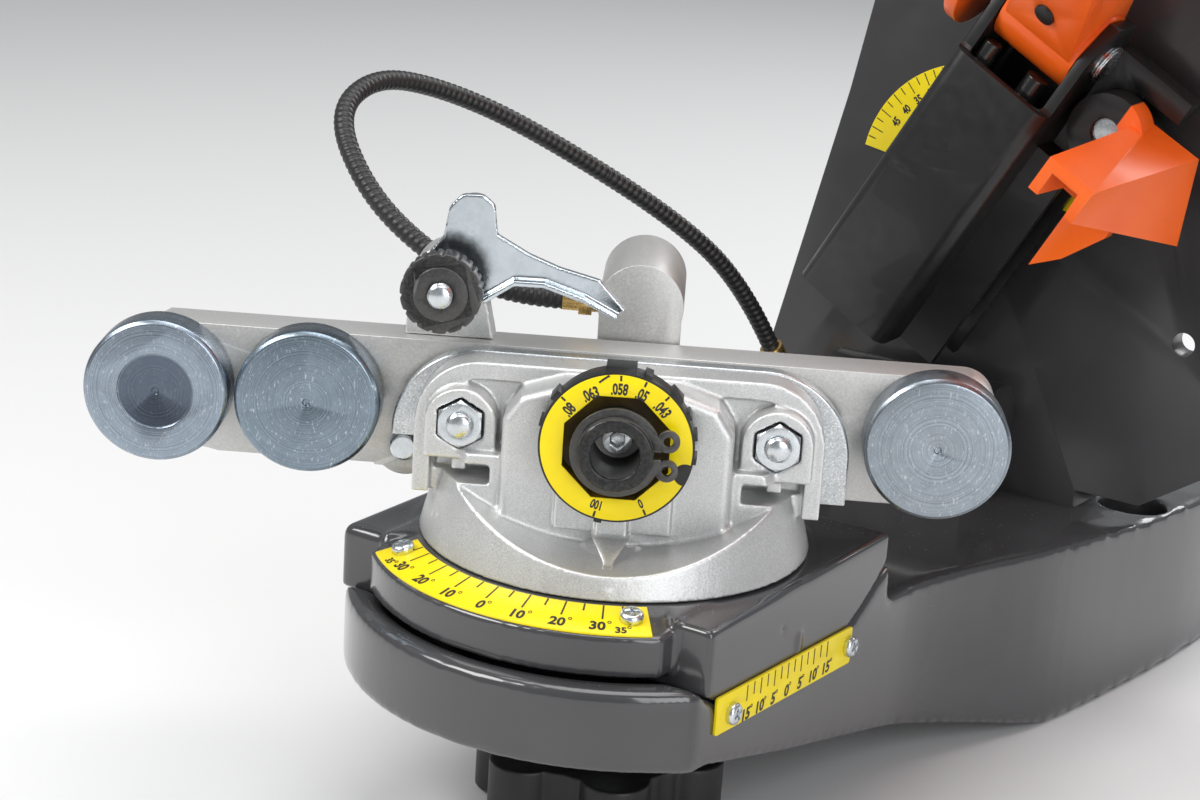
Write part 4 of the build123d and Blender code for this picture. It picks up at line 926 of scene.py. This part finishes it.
class Print:
    """Ink on a surface: fn(u, v, w) gives the local point at u right, v up and w out, in mm."""

    def __init__(self, fn, lift=0.02, thick=0.05):
        self.fn, self.v, self.f, self.lift, self.thick = fn, [], [], lift, thick

    def text(self, s, u, v, cap, squeeze=0.8, turn=0.0, slant=0.0):
        gv, gf = glyph_mesh(s)
        k = cap / CAP
        base = len(self.v)
        c, sn = cos(turn), sin(turn)
        for x, y, z in gv:
            a, b = (x + slant * y) * k * squeeze, y * k - cap / 2
            self.v.append(self.fn(u + a * c - b * sn, v + a * sn + b * c, self.lift + (self.thick if z > 0 else 0.0)))
        self.f += [tuple(base + i for i in f) for f in gf]

    def bar(self, u0, v0, u1, v1, w, steps=1):
        d = sqrt((u1 - u0) ** 2 + (v1 - v0) ** 2)
        nx, ny = -(v1 - v0) / d * w / 2, (u1 - u0) / d * w / 2
        base = len(self.v)
        for i in range(steps + 1):
            t = i / steps
            u, v = u0 + (u1 - u0) * t, v0 + (v1 - v0) * t
            for s in (1, -1):
                for h in (self.lift, self.lift + self.thick):
                    self.v.append(self.fn(u + s * nx, v + s * ny, h))
        for i in range(steps):
            a = base + 4 * i
            b = a + 4
            self.f += [(a + 1, b + 1, b + 3, a + 3), (a, a + 2, b + 2, b), (a, b, b + 1, a + 1), (a + 2, a + 3, b + 3, b + 2)]
        e = base + 4 * steps
        self.f += [(base, base + 1, base + 3, base + 2), (e, e + 2, e + 3, e + 1)]

    def ring(self, u, v, r, w, seg=14):
        base = len(self.v)
        for k in range(seg):
            a = 2 * pi * k / seg
            for rr in (r - w / 2, r + w / 2):
                for h in (self.lift, self.lift + self.thick):
                    self.v.append(self.fn(u + rr * cos(a), v + rr * sin(a), h))
        for k in range(seg):
            a, b = base + 4 * k, base + 4 * ((k + 1) % seg)
            self.f += [(a + 1, a + 3, b + 3, b + 1), (a, b, b + 2, a + 2), (a, a + 1, b + 1, b), (a + 2, b + 2, b + 3, a + 3)]

    def done(self, name, m, body, mat="black_print"):
        ob = mesh_from(name, self.v, self.f, m)
        ob.data.materials.append(MAT[mat])
        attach(ob, body)
        return ob


def on_cone(u, v, w):
    """Swivel scale: u is arc length at radius 55, v is measured inwards from radius 55."""
    r, a = 55.0 - v, u / 55.0
    s = atan2(7.8, 28.2)
    z = 0.05 - 7.8 * (r - 47.2) / 28.2
    return ((r + w * sin(s)) * sin(a), -(r + w * sin(s)) * cos(a), z + w * cos(s))


pr = Print(on_cone)
for k in range(-7, 8):
    a = radians(5 * k) * 55
    pr.bar(a, 55 - 48.1, a, 55 - (52.9 if k % 2 == 0 else 50.5), 0.42)
for k, t, cap, sq in [(-34.0, "35", 1.9, 0.95), (-29.2, "30", 2.8, 0.95), (-19.6, "20", 2.8, 0.95), (-9.8, "10", 2.8, 0.95), (0.3, "0", 2.8, 0.95),
                      (9.9, "10", 2.8, 0.95), (19.7, "20", 2.8, 0.95), (29.0, "30", 2.8, 0.95), (34.4, "35", 2.0, 0.95)]:
    a = radians(k) * 55
    rr = 55.2 if cap > 2 else 56.3
    pr.text(t, a, 55 - rr, cap, sq)
    wide = (2.35 if t != "0" else 1.35) * cap / 2.5
    pr.ring(a + wide, 55 - rr + cap * 0.48, 0.38, 0.18)
pr.done("arc_scale_print", ARM, "cradle")


def on_side(u, v, w):
    return (50.8 + w, u, v)


pr = Print(on_side)
marks = (-20.9, -14.5, -8.1, -1.7, 4.7, 11.0, 17.6)
halves = [(a + b) / 2 for a, b in zip(marks, marks[1:])]
for ys, length in ((marks, 3.9), (halves, 3.1)):
    for y in ys:
        top = -17.9 - 0.0386 * (y + 34.3)
        pr.bar(y, top, y - 0.1, top - length, 0.36)
for y, t in zip(marks, ("15", "10", "5", "0", "5", "10", "15")):
    low = -25.5 - (y + 20.9) / 38.5
    pr.text(t, y - 0.2, low, 2.8, 1.08, 0.0, 0.12)
    pr.ring(y + (2.45 if len(t) > 1 else 1.45), low + 1.2, 0.34, 0.2)
pr.done("side_scale_print", ARM, "base")


def on_dial(u, v, w):
    """u is arc length at radius 14.3, clockwise from the top, v outwards from radius 14.3."""
    r, a = 14.3 + v, u / 14.3
    return (r * sin(a), -34.1 - w, 32.0 + r * cos(a))


pr = Print(on_dial, 0.01, 0.04)
for th, r0, r1, w in [(0.3, 15.75, 17.0, 0.42), (20.1, 15.75, 17.0, 0.42), (40.5, 15.75, 17.0, 0.42), (-49.5, 15.75, 17.0, 0.42),
                      (194.0, 15.6, 17.0, 0.42), (153.4, 15.6, 17.0, 0.42)]:
    a = radians(th) * 14.3
    pr.bar(a, r0 - 14.3, a, r1 - 14.3, w)
# slanted pointer mark
p0, p1 = (radians(-17.5), 15.75), (radians(-8.5), 17.0)
pr.bar(p0[0] * 14.3, p0[1] - 14.3, p1[0] * 14.3, p1[1] - 14.3, 0.45, 3)
for th, t in [(-0.8, ".058"), (20.9, ".05"), (44.4, ".043"), (-28.0, ".063"), (-53.6, ".08")]:
    pr.text(t, radians(th) * 14.3, -0.35, 2.6, 0.66)
for th, t in [(194.5, "100"), (153.4, "0")]:
    pr.text(t, radians(th) * 14.3, -0.15, 2.2, 0.62)
pr.done("dial_print", VISE, "dial")


def on_round(u, v, w):
    """Round scale behind the column: u is arc length at radius 30, clockwise from the top."""
    r, a = 30.0 + v, u / 30.0
    return (11.0 + r * sin(a), 159.4 - w, 63.05 + r * cos(a))


pr = Print(on_round)
for k in range(-22, 11):
    a = radians(5.0 * k + 30)
    if degrees(a) < -78 or degrees(a) > 88:
        continue
    pr.bar(a * 30, 3.2, a * 30, 0.9 if k % 2 else -0.4, 0.26)
for k, t in zip(range(-10, 6), ("", "", "45", "40", "35", "30", "25", "20", "15", "10", "5", "0", "", "", "", "")):
    a = radians(10.0 * k + 30 - 10)
    if t and -76 < degrees(a) < 86:
        pr.text(t, a * 30, -2.3, 2.3, 0.8)
pr.done("head_scale_print", ARM, "base")


# ---------------------------------------------------------------- floor and lights
def floor():
    me = bpy.data.meshes.new("floor")
    s = 3.0
    me.from_pydata([(-s, -s, 0), (s, -s, 0), (s, s, 0), (-s, s, 0)], [], [(0, 1, 2, 3)])
    ob = link(bpy.data.objects.new("floor", me))
    ob.location.z = -0.0006
    m = NT("floor_pale")
    m.b.inputs["Base Color"].default_value = (0.74, 0.74, 0.74, 1)
    m.b.inputs["Roughness"].default_value = 0.6
    me.materials.append(m.mat)


floor()


def area(name, loc, target, size, power, color=(1, 1, 1), size_y=None):
    li = bpy.data.lights.new(name, "AREA")
    li.energy = power
    li.color = color
    li.shape = "RECTANGLE" if size_y else "SQUARE"
    li.size = size
    if size_y:
        li.size_y = size_y
    ob = link(bpy.data.objects.new(name, li))
    ob.location = loc
    ob.rotation_euler = (Vector(target) - Vector(loc)).to_track_quat("-Z", "Y").to_euler()
    return ob


tgt = (0.0, -0.15, 0.1)
area("key", (-0.55, -0.95, 0.95), tgt, 0.7, 11, (1.0, 0.99, 0.97), 0.5)
area("fill", (0.95, -0.75, 0.55), tgt, 0.6, 6.5, (0.97, 0.98, 1.0), 0.9)
area("top", (0.05, -0.1, 1.3), tgt, 0.9, 8.5, (1, 1, 1), 0.9)
area("rim", (0.2, 0.9, 0.8), tgt, 0.8, 6, (1, 1, 1), 0.5)
w = bpy.data.worlds.new("world")
bpy.context.scene.world = w
w.use_nodes = True
w.node_tree.nodes["Background"].inputs[0].default_value = (0.80, 0.82, 0.85, 1)
w.node_tree.nodes["Background"].inputs[1].default_value = 0.35
bpy.context.scene.view_settings.view_transform = "Standard"
bpy.context.scene.view_settings.look = "None"
bpy.context.scene.view_settings.exposure = 0.0
